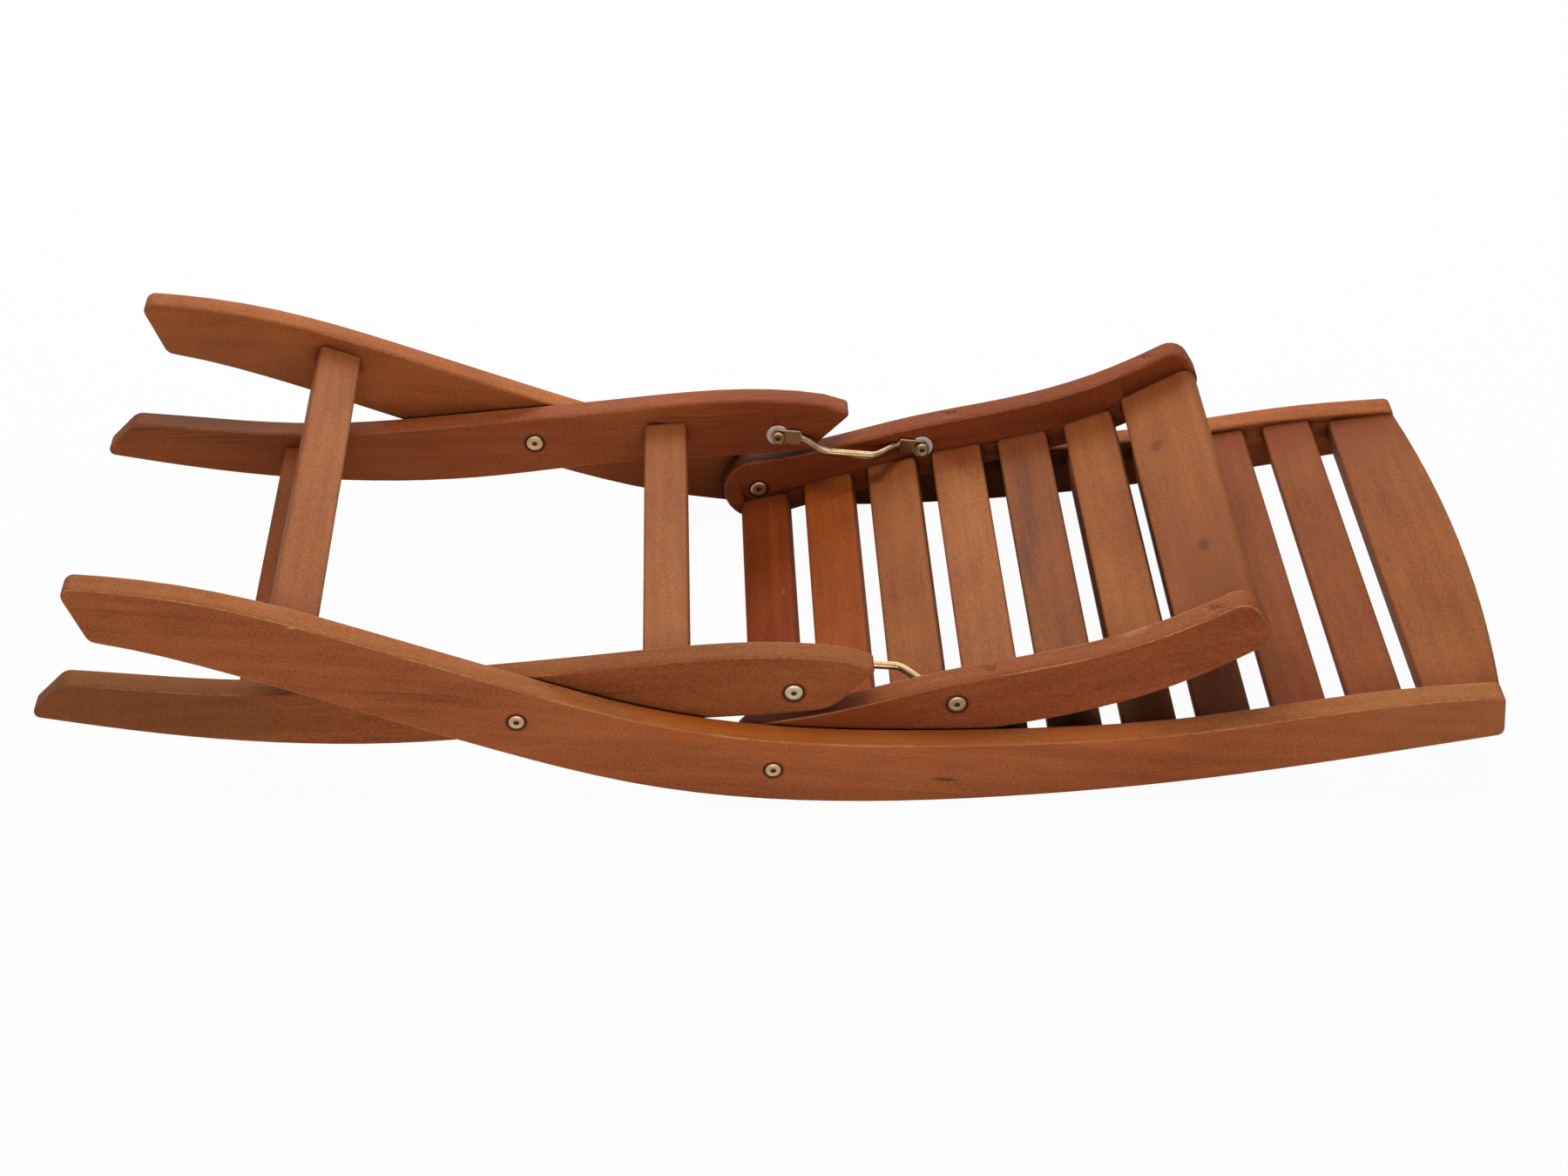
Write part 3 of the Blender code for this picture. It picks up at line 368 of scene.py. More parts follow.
class Wood(Finish):
    """Oiled hardwood. Grain is the angle of its fibres from X towards Y and from X towards Z."""

    def __init__(self, name, grain, seed, look):
        super().__init__(name)
        self.here = self.coordinate("Object")
        self.normal = self.coordinate("Normal")
        self.look = look
        turn, tilt = grain
        self.along = (math.cos(turn) * math.cos(tilt), math.sin(turn) * math.cos(tilt), math.sin(tilt))
        self.to_fibres = Euler((0.0, tilt, -turn))
        mapping = self.add("Mapping", {"Vector": self.here, "Rotation": self.to_fibres})
        self.on_fibres = mapping.outputs["Vector"]
        shift = tuple(seed * share for share in SEED_SHIFTS)
        self.board = self.vector("ADD", self.on_fibres, shift)
        sway = self.noise(self.board, *SWAY_NOISE, output="Color")
        sway = self.vector("SUBTRACT", sway, (NOISE_MIDDLE,) * 3)
        self.swayed = self.vector("ADD", self.board, self.vector("MULTIPLY", sway, SWAY_REACH))
        self.fibre = self.noise(self.swayed, *FIBRE_NOISE)
        self.pore = self.noise(self.swayed, *PORE_NOISE)

    def lay_figure(self):
        """Blotches, fibres, mottle and growth rings, then drifts of rosy wood, streaks and pores."""
        blotch = self.noise(self.board, *BLOTCH_NOISE)
        mottle = self.noise(self.board, *MOTTLE_NOISE)
        rings = self.rings(self.vector("MULTIPLY", self.swayed, RING_STRETCH), RING_WAVE, "X")
        parts = (
            (blotch, BLOTCH_GAIN),
            (self.fibre, FIBRE_GAIN),
            (mottle, MOTTLE_GAIN),
            (rings, RING_GAIN),
        )
        tone = self.look.tone
        self.colour = self.mix(self.departures(parts), tone.dark, tone.pale)
        drift = self.noise(self.board, *DRIFT_NOISE)
        self.lay(self.ramp(drift, ROSY_LIMITS, ROSY_SHARE), ROSY_TINT, "MULTIPLY")
        streak = self.noise(self.swayed, *STREAK_NOISE)
        self.lay(self.ramp(streak, STREAK_LIMITS, self.look.streaks), STREAK_COLOUR)
        self.lay(self.ramp(self.pore, PORE_LIMITS, PORE_SHARE), PORE_COLOUR)

    def lay_marks(self):
        """Knots, stains, nicks and patches of painted shade and light, with edges that the fibres draw
        out.
        """
        for mark in self.look.marks:
            spot = mark.place.copy()
            spot.rotate(self.to_fibres)
            away = self.vector("DIVIDE", self.vector("SUBTRACT", self.on_fibres, spot), mark.size)
            away = self.departures(((self.length(away), 1.0), (self.fibre, MARK_FIBRE_GAIN)))
            self.lay(self.ramp(away, MARK_LIMITS, mark.strength), mark.colour)

    def lay_pale_edges(self):
        """Narrow edges of a rail, paler than its broad faces."""
        if self.look.pale_edges:
            broad = self.math("ABSOLUTE", self.axis(self.normal, "Y"))
            narrow = self.ramp(broad, NARROW_EDGE_LIMITS, self.look.pale_edges)
            self.lay(narrow, EDGE_TINT, "MULTIPLY")

    def lay_end_grain(self):
        facing = self.add("VectorMath", {0: self.normal, 1: self.along}, operation="DOT_PRODUCT")
        facing = self.math("ABSOLUTE", facing.outputs["Value"])
        self.lay(self.ramp(facing, END_GRAIN_LIMITS, END_GRAIN_SHARE), END_GRAIN_COLOUR)

    def lay_end_shade_and_joint_dirt(self, shoulder):
        """Board ends painted redder as shade from the rails they meet, and dirt beside the joints."""
        across = self.math("ABSOLUTE", self.axis(self.here, "Y"))
        redder = self.ramp(across, (shoulder - END_SHADE_WIDTH, shoulder), END_SHADE_SHARE)
        self.lay(redder, RED_SHADE_COLOUR)
        dirt = self.ramp(across, (shoulder - JOINT_DIRT_WIDTH, shoulder), JOINT_DIRT_SHARE)
        self.lay(dirt, GRIME_AND_SHADE_COLOUR)

    def lay_head_gap_shade(self, centre, radius):
        """Painted shade in the gap round a bolt's or nut's head."""
        away = self.from_axis(self.vector("SUBTRACT", self.here, centre))
        seat = radius + HEAD_SEAT_PLAY
        self.lay(self.ramp(away, (seat + HEAD_GAP_SHADE_WIDTH, seat), HEAD_GAP_SHADE_SHARE), GRIME_AND_SHADE_COLOUR)

    def lay_crevice_shade(self):
        """Painted shade where boards crowd close, darkest where the least sky is open."""
        occlusion = self.add("AmbientOcclusion", {"Distance": CREVICE_REACH}, samples=CREVICE_SAMPLES)
        begin, shade = self.look.crevice_shade
        deep = self.ramp(occlusion.outputs["AO"], (begin, begin * CREVICE_FULL_SHARE), shade)
        self.lay(deep, GRIME_AND_SHADE_COLOUR)

    def lay_rubbed_arrises(self):
        """Arrises rubbed pale, more in some stretches than in others."""
        stretch = self.ramp(self.noise(self.board, *STRETCH_NOISE), STRETCH_LIMITS)
        chip = self.ramp(self.noise(self.board, *CHIP_NOISE), CHIP_LIMITS)
        rubbed = self.math("MULTIPLY", self.math("MULTIPLY", stretch, chip), MORE_RUB)
        rubbed = self.math("ADD", rubbed, LEAST_RUB)
        arris = self.add("Attribute", {}, attribute_name="arris").outputs["Fac"]
        arris = self.ramp(arris, ARRIS_LIMITS, self.look.wear)
        self.lay(self.math("MULTIPLY", rubbed, arris), WORN_COLOUR)

    def oil(self):
        """Satin oil over open pores."""
        smoothest, roughest = OIL_ROUGHNESS
        roughness = self.ramp(self.fibre, OIL_FIBRE_LIMITS, roughest, smoothest)
        height = self.math("SUBTRACT", self.fibre, self.ramp(self.pore, PORE_DEPTH_LIMITS))
        self.apply(roughness, height, WOOD_BUMP_STRENGTH, WOOD_BUMP_DEPTH)
        self.surface.inputs["Specular IOR Level"].default_value = OIL_SPECULAR


def wood(name, grain, seed, look, heads=(), shoulder=None):
    """The material of one board. Heads are the nodes let into it, and a shoulder is its joint."""
    finish = Wood(name, grain, seed, look)
    finish.lay_figure()
    finish.lay_marks()
    finish.lay_pale_edges()
    finish.lay_end_grain()
    if shoulder:
        finish.lay_end_shade_and_joint_dirt(shoulder)
    for head in heads:
        finish.lay_head_gap_shade(middle_of(head), radius_of(head))
    finish.lay_crevice_shade()
    finish.lay_rubbed_arrises()
    finish.oil()
    return finish.material


# Brass and nylon

# Brass: light and deep colour, and the least roughness
TURNED_BRASS = ((0.52, 0.42, 0.27, 1.0), (0.40, 0.31, 0.18, 1.0), 0.32)
BROWNED_BRASS = ((0.51, 0.32, 0.18, 1.0), (0.39, 0.235, 0.12, 1.0), 0.32)
DULL_BRASS = ((0.40, 0.27, 0.14, 1.0), (0.27, 0.17, 0.08, 1.0), 0.30)
FORGED_BRASS = ((0.36, 0.25, 0.14, 1.0), (0.24, 0.15, 0.07, 1.0), 0.24)
# Painted shade in a head's socket; on forged brass, a painted reflection of the dark wood on its flats
# and underside
SOCKET_SHADE_COLOUR = (0.045, 0.036, 0.025, 1.0)
SOCKET_SHADE_SHARE = 0.9
FLAT_REFLECTION_COLOUR = (0.260, 0.140, 0.062, 1.0)
FLAT_REFLECTION_LIMITS = (0.86, 0.98)
FLAT_REFLECTION_SHARE = 0.75
UNDERSIDE_REFLECTION_COLOUR = (0.110, 0.048, 0.018, 1.0)
UNDERSIDE_REFLECTION_LIMITS = (-0.05, -0.75)
UNDERSIDE_REFLECTION_SHARE = 0.85
BRASS_CLOUD_NOISE = ((90.0, 90.0, 90.0), 4.0, 0.55)
SCRATCH_NOISE = ((300.0, 2600.0, 2600.0), 3.0, 0.55)
LATHE_WAVE = {"Scale": 420.0, "Distortion": 0.6, "Detail": 1.0}
ROUGHNESS_SPREAD = 0.16
BRASS_BUMP_STRENGTH = 0.12
BRASS_BUMP_DEPTH = 0.00006
# Most of a noise is between these values
NOISE_LIMITS = (0.3, 0.7)

NYLON_COLOURS = ((0.62, 0.58, 0.53, 1.0), (0.76, 0.73, 0.68, 1.0))
NYLON_CLOUD_NOISE = ((160.0, 160.0, 160.0), 3.0, 0.55)
SCUFF_NOISE = ((900.0, 2000.0, 900.0), 3.0, 0.55)
NYLON_ROUGHNESS = (0.28, 0.5)
NYLON_CLEARNESS = 0.35
NYLON_CLEAR_DEPTHS = (0.0020, 0.0019, 0.0017)
NYLON_BUMP_STRENGTH = 0.1
NYLON_BUMP_DEPTH = 0.0001


def brass(name, light, deep, least_roughness, turned):
    """Lacquered brass. A turned piece has lathe marks and a socket painted dark as shade.

    A forged piece has a painted reflection of the dark wood on its flats and below."""
    finish = Finish(name)
    here = finish.coordinate("Object")
    cloud = finish.noise(here, *BRASS_CLOUD_NOISE)
    scratch = finish.noise(here, *SCRATCH_NOISE)
    finish.colour = finish.mix(finish.ramp(cloud, NOISE_LIMITS), deep, light)
    height = scratch
    if turned:
        height = finish.math("ADD", scratch, finish.rings(here, LATHE_WAVE, "Y"))
        rim = (SOCKET_RADIUS + SOCKET_LEAD_IN, SOCKET_RADIUS)
        finish.lay(finish.ramp(finish.from_axis(here), rim, SOCKET_SHADE_SHARE), SOCKET_SHADE_COLOUR)
    else:
        normal = finish.coordinate("Normal")
        flat = finish.math("ABSOLUTE", finish.axis(normal, "Y"))
        finish.lay(finish.ramp(flat, FLAT_REFLECTION_LIMITS, FLAT_REFLECTION_SHARE), FLAT_REFLECTION_COLOUR)
        up = finish.axis(normal, "Z")
        finish.lay(finish.ramp(up, UNDERSIDE_REFLECTION_LIMITS, UNDERSIDE_REFLECTION_SHARE), UNDERSIDE_REFLECTION_COLOUR)
    most_roughness = least_roughness + ROUGHNESS_SPREAD
    roughness = finish.ramp(scratch, NOISE_LIMITS, most_roughness, least_roughness)
    finish.apply(roughness, height, BRASS_BUMP_STRENGTH, BRASS_BUMP_DEPTH)
    finish.surface.inputs["Metallic"].default_value = 1.0
    return finish.material


def nylon(name):
    """Milky nylon that lets a little light through, scuffed where it rubs."""
    finish = Finish(name)
    here = finish.coordinate("Object")
    cloud = finish.noise(here, *NYLON_CLOUD_NOISE)
    scuff = finish.noise(here, *SCUFF_NOISE)
    finish.colour = finish.mix(finish.ramp(cloud, NOISE_LIMITS), *NYLON_COLOURS)
    smoothest, roughest = NYLON_ROUGHNESS
    roughness = finish.ramp(scuff, NOISE_LIMITS, roughest, smoothest)
    finish.apply(roughness, scuff, NYLON_BUMP_STRENGTH, NYLON_BUMP_DEPTH)
    finish.surface.inputs["Subsurface Weight"].default_value = NYLON_CLEARNESS
    finish.surface.inputs["Subsurface Radius"].default_value = NYLON_CLEAR_DEPTHS
    finish.surface.inputs["Subsurface Scale"].default_value = 1.0
    return finish.material


# Pieces

def add_thing(name, data):
    """A new object in the scene."""
    thing = bpy.data.objects.new(name, data)
    bpy.context.scene.collection.objects.link(thing)
    return thing


def middle_of(node):
    low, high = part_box(node)
    return (low + high) / 2


def radius_of(node):
    low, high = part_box(node)
    return (high.x - low.x) / 2


def shoulder_of(node):
    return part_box(node)[1].y - TENON_LENGTH


def add_piece(name, mesh, material, node, place=(0.0, 0.0, 0.0)):
    """A new piece that stands for a node and moves with the node's body."""
    data = bpy.data.meshes.new(name)
    mesh.to_mesh(data)
    mesh.free()
    data.shade_smooth()
    data.set_sharp_from_angle(angle=SMOOTH_TURN)
    data.materials.append(material)
    piece = add_thing(name, data)
    piece.location = place
    even = piece.modifiers.new("even_shading", "WEIGHTED_NORMAL")
    even.mode = "FACE_AREA_WITH_ANGLE"
    even.weight = EVEN_SHADING_WEIGHT
    even.keep_sharp = True
    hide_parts(node)
    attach(piece, body_of(frame["nodes"][node])[0])


def add_board(node, material, arris_turns=ARRIS_TURNS):
    """A board with welded corners, soft shading and its arrises marked for wear."""
    mesh = bmesh.new()
    mesh.from_mesh(frame["nodes"][node].data)
    bmesh.ops.remove_doubles(mesh, verts=mesh.verts, dist=WELD_DISTANCE)
    arris = mesh.verts.layers.float.new("arris")
    low, high = arris_turns
    for vertex in mesh.verts:
        turn = max(edge.calc_face_angle(0.0) for edge in vertex.link_edges)
        vertex[arris] = 1.0 if low < turn < high else 0.0
    add_piece(node + "_board", mesh, material, node)


def around(radius, depth, flats=0):
    """A ring about the Y axis: round, or with a number of flats that are closest at the radius."""
    points = []
    for i in range(ROUND_SIDES):
        step = 2 * math.pi * i / ROUND_SIDES
        reach = radius
        if flats:
            half_flat = math.pi / flats
            reach = radius * math.cos(half_flat) / math.cos(step % (2 * half_flat) - half_flat)
        points.append((reach * math.cos(step), depth, reach * math.sin(step)))
    return points


def skinned(rings, closed=False):
    """A skin over rings of corners, capped at both ends unless the rings go round."""
    mesh = bmesh.new()
    corners = [[mesh.verts.new(corner) for corner in points] for points in rings]
    pairs = list(zip(corners, corners[1:]))
    if closed:
        pairs.append((corners[-1], corners[0]))
    for one, two in pairs:
        for i in range(len(one)):
            j = (i + 1) % len(one)
            mesh.faces.new((one[i], one[j], two[j], two[i]))
    if not closed:
        mesh.faces.new(corners[0])
        mesh.faces.new(corners[-1])
    bmesh.ops.recalc_face_normals(mesh, faces=mesh.faces)
    return mesh


def add_fastener(node, facing, shank_radius, material):
    """A bolt or sleeve nut with a turned head, which looks along Y to the side that facing says."""
    low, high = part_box(node)
    radius = radius_of(node)
    face = high.y if facing > 0 else low.y
    length = high.y - low.y
    rim = HEAD_HEIGHT - HEAD_RIM_HEIGHT
    rings = [
        (SOCKET_RADIUS, SOCKET_DEPTH, SOCKET_FLATS),
        (SOCKET_RADIUS, SOCKET_LEAD_IN, SOCKET_FLATS),
        (SOCKET_RADIUS + SOCKET_LEAD_IN, 0.0, 0),
    ]
    flat = radius * HEAD_FLAT_SHARE
    for i in range(HEAD_EDGE_STEPS + 1):
        angle = math.pi / 2 * i / HEAD_EDGE_STEPS
        rings.append((flat + (radius - flat) * math.sin(angle), rim * (1 - math.cos(angle)), 0))
    rings.append((radius, HEAD_HEIGHT - HEAD_CHAMFER, 0))
    rings.append((radius - HEAD_CHAMFER, HEAD_HEIGHT, 0))
    rings.append((shank_radius, HEAD_HEIGHT, 0))
    rings.append((shank_radius, length - HEAD_CHAMFER, 0))
    rings.append((shank_radius - HEAD_CHAMFER, length, 0))
    mesh = skinned([around(reach, -facing * depth, flats) for reach, depth, flats in rings])
    place = ((low.x + high.x) / 2, face, (low.z + high.z) / 2)
    add_piece(node + "_turned", mesh, material, node, place)


def add_washer(node, hole_radius, material):
    """A washer with softened rims."""
    low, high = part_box(node)
    radius = radius_of(node)
    half = (high.y - low.y) / 2
    soft = half - WASHER_EDGE
    outside = [(radius - WASHER_EDGE, half), (radius, soft)]
    bore = [(hole_radius + WASHER_EDGE, half), (hole_radius, soft)]
    rings = [(reach, -depth) for reach, depth in outside] + outside[::-1]
    rings += bore + [(reach, -depth) for reach, depth in reversed(bore)]
    mesh = skinned([around(reach, depth) for reach, depth in rings], closed=True)
    add_piece(node + "_moulded", mesh, material, node, (low + high) / 2)


def smooth_step(share):
    share = min(max(share, 0.0), 1.0)
    return share * share * (3 - 2 * share)


def link_half(length):
    """Places from one end of the link to its middle: (run, half width, half thickness, bow)."""
    rows = []
    for i in range(1, LINK_STEPS):
        angle = math.pi / 2 * i / (LINK_STEPS - 1)
        run = -LINK_TAB_END * math.cos(angle)
        rows.append((run, LINK_TAB_RADIUS * math.sin(angle), LINK_TAB_THICKNESS / 2, 0.0))
    bow_start = (length - LINK_BOW_LENGTH) / 2
    ramp_start = bow_start - LINK_RAMP_LENGTH
    bend_start = ramp_start - LINK_BEND_EASE
    bend_length = LINK_RAMP_LENGTH + 2 * LINK_BEND_EASE
    for i in range(LINK_STEPS):
        run = LINK_TAB_STRAIGHT + LINK_SHOULDER * i / LINK_STEPS
        share = smooth_step(i / LINK_STEPS)
        half_width = LINK_TAB_RADIUS + (LINK_ROD_RADIUS - LINK_TAB_RADIUS) * share
        half_thickness = LINK_TAB_THICKNESS / 2 + (LINK_ROD_RADIUS - LINK_TAB_THICKNESS / 2) * share
        bow = LINK_BOW_DEPTH * smooth_step((run - bend_start) / bend_length)
        rows.append((run, half_width, half_thickness, bow))
    rod_start = max(LINK_TAB_STRAIGHT + LINK_SHOULDER, bend_start)
    for i in range(LINK_STEPS + 1):
        run = rod_start + (bend_start + bend_length - rod_start) * i / LINK_STEPS
        bow = LINK_BOW_DEPTH * smooth_step((run - bend_start) / bend_length)
        rows.append((run, LINK_ROD_RADIUS, LINK_ROD_RADIUS, bow))
    return rows


def add_link(side, word, material):
    """The bowed brass link: flat tabs with round ends, forged into a round rod between."""
    node = "link_" + word
    low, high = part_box(node)
    start = middle_of("link_leg_bolt_" + word)
    span = middle_of("link_seat_bolt_" + word) - start
    start.y = side * (max(abs(low.y), abs(high.y)) - LINK_TAB_THICKNESS / 2)
    span.y = 0.0
    length = span.length
    along = span / length
    across = Vector((-along.z, 0.0, along.x))
    inward = Vector((0.0, -side, 0.0))
    half = link_half(length)
    rows = half + [(length - run, *rest) for run, *rest in reversed(half)]
    rings = []
    for i, (run, half_width, half_thickness, bow) in enumerate(rows):
        run_before, *_, bow_before = rows[max(i - 1, 0)]
        run_after, *_, bow_after = rows[min(i + 1, len(rows) - 1)]
        lean = math.atan2(bow_after - bow_before, max(run_after - run_before, WELD_DISTANCE))
        flatness = (half_width - half_thickness) / (LINK_TAB_RADIUS - LINK_TAB_THICKNESS / 2)
        power = 1.0 - LINK_TAB_SQUARENESS * max(flatness, 0.0)
        corners = []
        for j in range(LINK_SIDES):
            step = 2 * math.pi * j / LINK_SIDES
            wide = math.copysign(abs(math.cos(step)) ** power, math.cos(step)) * half_width
            thick = math.copysign(abs(math.sin(step)) ** power, math.sin(step)) * half_thickness
            place = start + along * (run - thick * math.sin(lean)) + across * wide
            corners.append(place + inward * (bow + thick * math.cos(lean)))
        rings.append(corners)
    add_piece(node + "_forged", skinned(rings), material, node)


# The chair

ACROSS = (math.pi / 2, 0.0)
UPRIGHT = (0.0, math.pi / 2)
FIRST_SEED = 1.0
SEED_STEP = 1.37
PIN_SEED = 40.0
RAIL_TONE = Tone(0.345, 0.097, 0.031)
FAR_RAIL_TONE = Tone(0.395, 0.107, 0.029)
LEG_TONE = Tone(0.275, 0.076, 0.022)
FAR_LEG_TONE = Tone(0.335, 0.087, 0.027)
SEAT_RAIL_TONE = Tone(0.280, 0.070, 0.022)
# Painted shade: the far seat rail's tone, darker than the near one's
SHADED_SEAT_RAIL_TONE = Tone(0.240, 0.052, 0.014)
PALE_TONE = Tone(0.390, 0.132, 0.043)
WARM_TONE = Tone(0.345, 0.110, 0.032)
ROSY_TONE = Tone(0.290, 0.080, 0.023)
BROWN_TONE = Tone(0.285, 0.092, 0.033)
RED_TONE = Tone(0.365, 0.081, 0.0145)
DEEP_RED_TONE = Tone(0.250, 0.047, 0.0095)
PIN_TONE = Tone(0.225, 0.062, 0.022)
LOOKS = {
    "long_rail_left": Look(RAIL_TONE, 0.20, 1.00, (
        Mark((0.126, -0.215, 0.022), 0.016, 0.003, KNOT_COLOUR, 0.75),
        Mark((-0.283, -0.215, 0.112), 0.060, 0.0014, STAIN_COLOUR, 0.45),
        Mark((-0.362, -0.215, 0.1755), 0.005, 0.003, NICK_COLOUR, 0.80),
        Mark((0.520, -0.215, 0.085), 0.120, 0.060, WORN_COLOUR, 0.18),
        # Painted light along the top face beside the leg: orange, then redder, then pale orange
        Mark((-0.030, -0.200, 0.066), 0.170, 0.022, ORANGE_BOUNCE_LIGHT_COLOUR, 0.90),
        Mark((0.125, -0.203, 0.056), 0.070, 0.020, RED_BAND_COLOUR, 0.70),
        Mark((0.245, -0.203, 0.060), 0.130, 0.020, PALE_ORANGE_BOUNCE_LIGHT_COLOUR, 0.75),
    ), 1.0),
    "long_rail_right": Look(FAR_RAIL_TONE, 0.20, 0.70, (
        Mark((-0.480, 0.194, 0.155), 0.200, 0.060, WORN_COLOUR, 0.16),
    ), 0.6, (0.75, 0.95)),
    "rear_leg_left": Look(LEG_TONE, 0.30, 0.45, (
        Mark((-0.490, -0.190, 0.090), 0.240, 0.070, FOOT_SHADE_COLOUR, 0.45),
    ), 1.0, (0.65, 0.75)),
    "rear_leg_right": Look(FAR_LEG_TONE, 0.30, 0.35, (
        Mark((-0.470, 0.190, 0.105), 0.170, 0.032, FOOT_SHADE_COLOUR, 1.0),
        Mark((0.000, 0.172, 0.090), 0.130, 0.060, RED_SHADE_COLOUR, 0.75),
    )),
    "seat_rail_left": Look(SEAT_RAIL_TONE, 0.20, 1.00, (
        Mark((0.270, -0.175, 0.132), 0.018, 0.006, NICK_COLOUR, 0.35),
        Mark((0.020, -0.190, 0.055), 0.130, 0.060, RED_SHADE_COLOUR, 0.80),
    ), 1.0),
    "seat_rail_right": Look(SHADED_SEAT_RAIL_TONE, 0.20, 0.45, (
        Mark((0.090, 0.172, 0.050), 0.110, 0.050, RED_SHADE_COLOUR, 0.75),
    ), 0.4),
    "foot_stretcher": Look(PALE_TONE),
    "upper_leg_stretcher": Look(PALE_TONE),
    "lower_leg_stretcher": Look(ROSY_TONE),
    "seat_slat_1": Look(DEEP_RED_TONE, 0.40, marks=(
        Mark((0.004, 0.060, 0.027), 0.170, 0.006, RED_BAND_COLOUR, 0.70),
        Mark((0.024, 0.000, 0.030), 0.400, 0.006, GRIME_AND_SHADE_COLOUR, 0.75),
        Mark((0.003, 0.157, 0.026), 0.009, 0.0012, NICK_COLOUR, 0.9),
        Mark((0.010, 0.025, 0.028), 0.005, 0.0014, NICK_COLOUR, 0.9),
    )),
    "seat_slat_2": Look(RED_TONE),
    "seat_slat_3": Look(WARM_TONE, marks=(
        Mark((0.096, 0.148, 0.058), 0.010, 0.008, STAIN_COLOUR, 0.7),
        Mark((0.121, -0.014, 0.065), 0.028, 0.003, STAIN_COLOUR, 0.45),
    )),
    "seat_slat_4": Look(PALE_TONE, marks=(
        Mark((0.166, 0.172, 0.074), 0.060, 0.030, RED_SHADE_COLOUR, 0.65),
    )),
    "seat_slat_5": Look(BROWN_TONE, 0.30, marks=(
        Mark((0.216, 0.080, 0.086), 0.120, 0.008, STAIN_COLOUR, 0.50),
        Mark((0.206, -0.010, 0.085), 0.060, 0.006, STAIN_COLOUR, 0.50),
    )),
    "seat_front_slat": Look(WARM_TONE, marks=(
        Mark((0.335, -0.130, 0.140), 0.160, 0.060, BROWN_SHADE_COLOUR, 0.65),
        Mark((0.323, 0.081, 0.134), 0.012, 0.009, KNOT_COLOUR, 0.50),
        Mark((0.336, -0.075, 0.142), 0.012, 0.008, KNOT_COLOUR, 0.60),
    )),
    "back_slat_4": Look(ROSY_TONE),
    "back_slat_5": Look(ROSY_TONE),
    "back_slat_6": Look(ROSY_TONE, marks=(
        Mark((0.457, 0.180, 0.083), 0.060, 0.040, RED_SHADE_COLOUR, 0.35),
    )),
    "crest_rail": Look(WARM_TONE, marks=(
        Mark((0.520, 0.180, 0.090), 0.110, 0.070, BROWN_SHADE_COLOUR, 0.70),
        Mark((0.503, -0.017, 0.085), 0.014, 0.002, STAIN_COLOUR, 0.60),
    )),
}
USUAL_LOOK = Look(WARM_TONE)
PIN_LOOK = Look(PIN_TONE, 0.4, 0.0)
# Boards of each side: the tilt of the fibres, and the heads let into the board
SIDE_BOARDS = {
    "long_rail_": (-0.08, ("leg_pivot_bolt_", "seat_pivot_bolt_")),
    "rear_leg_": (0.01, ("leg_pivot_nut_", "link_leg_nut_")),
    "seat_rail_": (0.26, ("seat_pivot_nut_", "link_seat_nut_")),
}
STRETCHERS = ("foot_stretcher", "upper_leg_stretcher", "lower_leg_stretcher")
BACK_SLATS = tuple(f"back_slat_{i}" for i in range(1, 7))
SEAT_SLATS = tuple(f"seat_slat_{i}" for i in range(1, 7))


def add_boards():
    """Every board with its own piece of wood."""
    seed = FIRST_SEED
    for word in SIDES:
        for piece, (tilt, heads) in SIDE_BOARDS.items():
            seed += SEED_STEP
            node = piece + word
            material = wood(node, (0.0, tilt), seed, LOOKS[node], [head + word for head in heads])
            add_board(node, material)
    for node in STRETCHERS + BACK_SLATS + SEAT_SLATS + ("crest_rail", "seat_front_slat"):
        seed += SEED_STEP
        look = LOOKS.get(node, USUAL_LOOK)
        material = wood(node, ACROSS, seed, look, shoulder=shoulder_of(node))
        turns = NOSE_ARRIS_TURNS if node == "seat_front_slat" else ARRIS_TURNS
        add_board(node, material, turns)


def add_pins():
    """The small wooden pins keep their solids and get their wood."""
    material = wood("pin", UPRIGHT, PIN_SEED, PIN_LOOK)
    for word in SIDES:
        for place in ("front", "middle"):
            pin = frame["nodes"][f"seat_pin_{place}_{word}"]
            pin.data.materials[0] = material


def add_hardware():
    """Links, bolts, sleeve nuts and washers."""
    head_brass = brass("turned_brass", *TURNED_BRASS, True)
    rail_brass = brass("browned_brass", *BROWNED_BRASS, True)
    dull_brass = brass("dull_brass", *DULL_BRASS, True)
    link_brass = brass("forged_brass", *FORGED_BRASS, False)
    washer_nylon = nylon("milky_nylon")
    for word, side in SIDES.items():
        add_link(side, word, link_brass)
        for pivot in ("leg_pivot", "seat_pivot"):
            add_fastener(f"{pivot}_bolt_{word}", side, BOLT_RADIUS, rail_brass)
            add_fastener(f"{pivot}_nut_{word}", -side, SLEEVE_RADIUS, rail_brass)
            add_washer(f"{pivot}_washer_{word}", SLEEVE_RADIUS, washer_nylon)
        for pivot, nut_brass in (("link_leg", head_brass), ("link_seat", dull_brass)):
            add_fastener(f"{pivot}_bolt_{word}", -side, BOLT_RADIUS, dull_brass)
            add_fastener(f"{pivot}_nut_{word}", side, SLEEVE_RADIUS, nut_brass)
            add_washer(f"{pivot}_washer_{word}", BOLT_RADIUS, washer_nylon)


# Studio

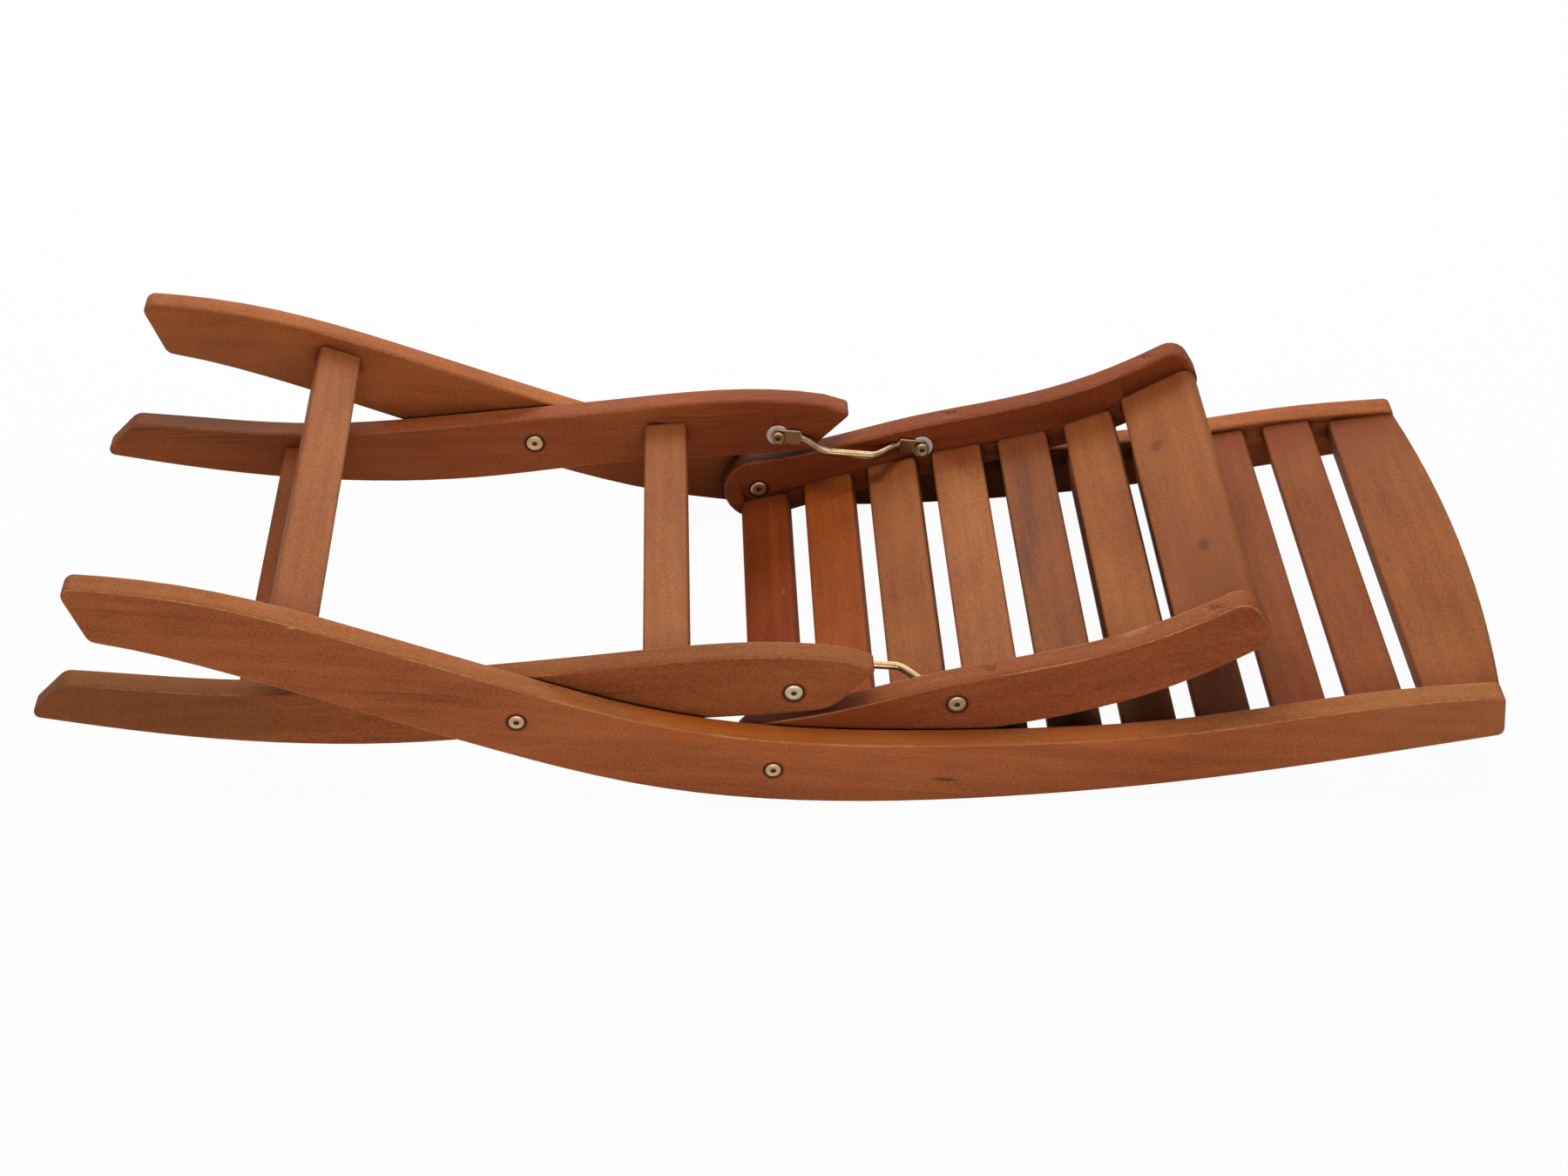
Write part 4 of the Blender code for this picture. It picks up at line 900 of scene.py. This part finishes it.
def add_floor():
    """A white floor that keeps the chair's shadow."""
    finish = Finish("studio_floor")
    half = FLOOR_SIZE / 2
    mesh = bmesh.new()
    corners = [(-half, -half), (half, -half), (half, half), (-half, half)]
    mesh.faces.new([mesh.verts.new((x, y, -FLOOR_DROP)) for x, y in corners])
    data = bpy.data.meshes.new("studio_floor")
    mesh.to_mesh(data)
    mesh.free()
    data.materials.append(finish.material)
    floor = add_thing("studio_floor", data)
    seen = finish.seen_directly()
    colour = finish.mix(seen, FLOOR_BOUNCE_COLOUR, FLOOR_SEEN_COLOUR)
    matt = finish.add("BsdfDiffuse", {"Color": colour}).outputs["BSDF"]
    white = finish.add("Emission", {"Strength": WHITE_STRENGTH}).outputs["Emission"]
    share = finish.math("MULTIPLY", seen, FLOOR_WHITE_SHARE)
    both = finish.add("MixShader", {0: share, 1: matt, 2: white}).outputs["Shader"]
    finish.set(finish.tree.nodes["Material Output"].inputs["Surface"], both)


def add_world():
    """A sky that is white where it is seen and dim where it lights."""
    world = bpy.data.worlds.new("studio")
    world.use_nodes = True
    bpy.context.scene.world = world
    nodes = Nodes(world.node_tree)
    sky = world.node_tree.nodes["Background"]
    sky.inputs["Color"].default_value = SKY_COLOUR
    inputs = {"Value": nodes.seen_directly(), "To Min": SKY_STRENGTH, "To Max": WHITE_STRENGTH}
    nodes.set(sky.inputs["Strength"], nodes.add("MapRange", inputs).outputs["Result"])


def add_lamps():
    for name, (place, size, power) in LAMPS.items():
        lamp = bpy.data.lights.new(name, "AREA")
        lamp.size = size
        lamp.energy = power
        thing = add_thing(name, lamp)
        thing.location = place
        look = Vector(LAMP_TARGET) - Vector(place)
        thing.rotation_euler = look.to_track_quat("-Z", "Y").to_euler()


def add_camera():
    camera = bpy.data.cameras.new("camera")
    camera.lens = CAMERA_LENS
    camera.sensor_width = SENSOR_WIDTH
    thing = add_thing("camera", camera)
    turn = Matrix.Rotation(CAMERA_AZIMUTH, 4, "Z")
    turn = turn @ Matrix.Rotation(math.pi / 2 - CAMERA_ELEVATION, 4, "X")
    turn = turn @ Matrix.Rotation(CAMERA_ROLL, 4, "Z")
    away = turn @ Vector((0.0, 0.0, CAMERA_DISTANCE))
    pivot = (middle_of("seat_pivot_bolt_left") + middle_of("seat_pivot_bolt_right")) / 2
    thing.matrix_world = Matrix.Translation(pivot + CAMERA_AIM + away) @ turn
    bpy.context.scene.camera = thing


add_boards()
add_pins()
add_hardware()
add_floor()
add_world()
add_lamps()
add_camera()
bpy.context.scene.view_settings.view_transform = "Standard"
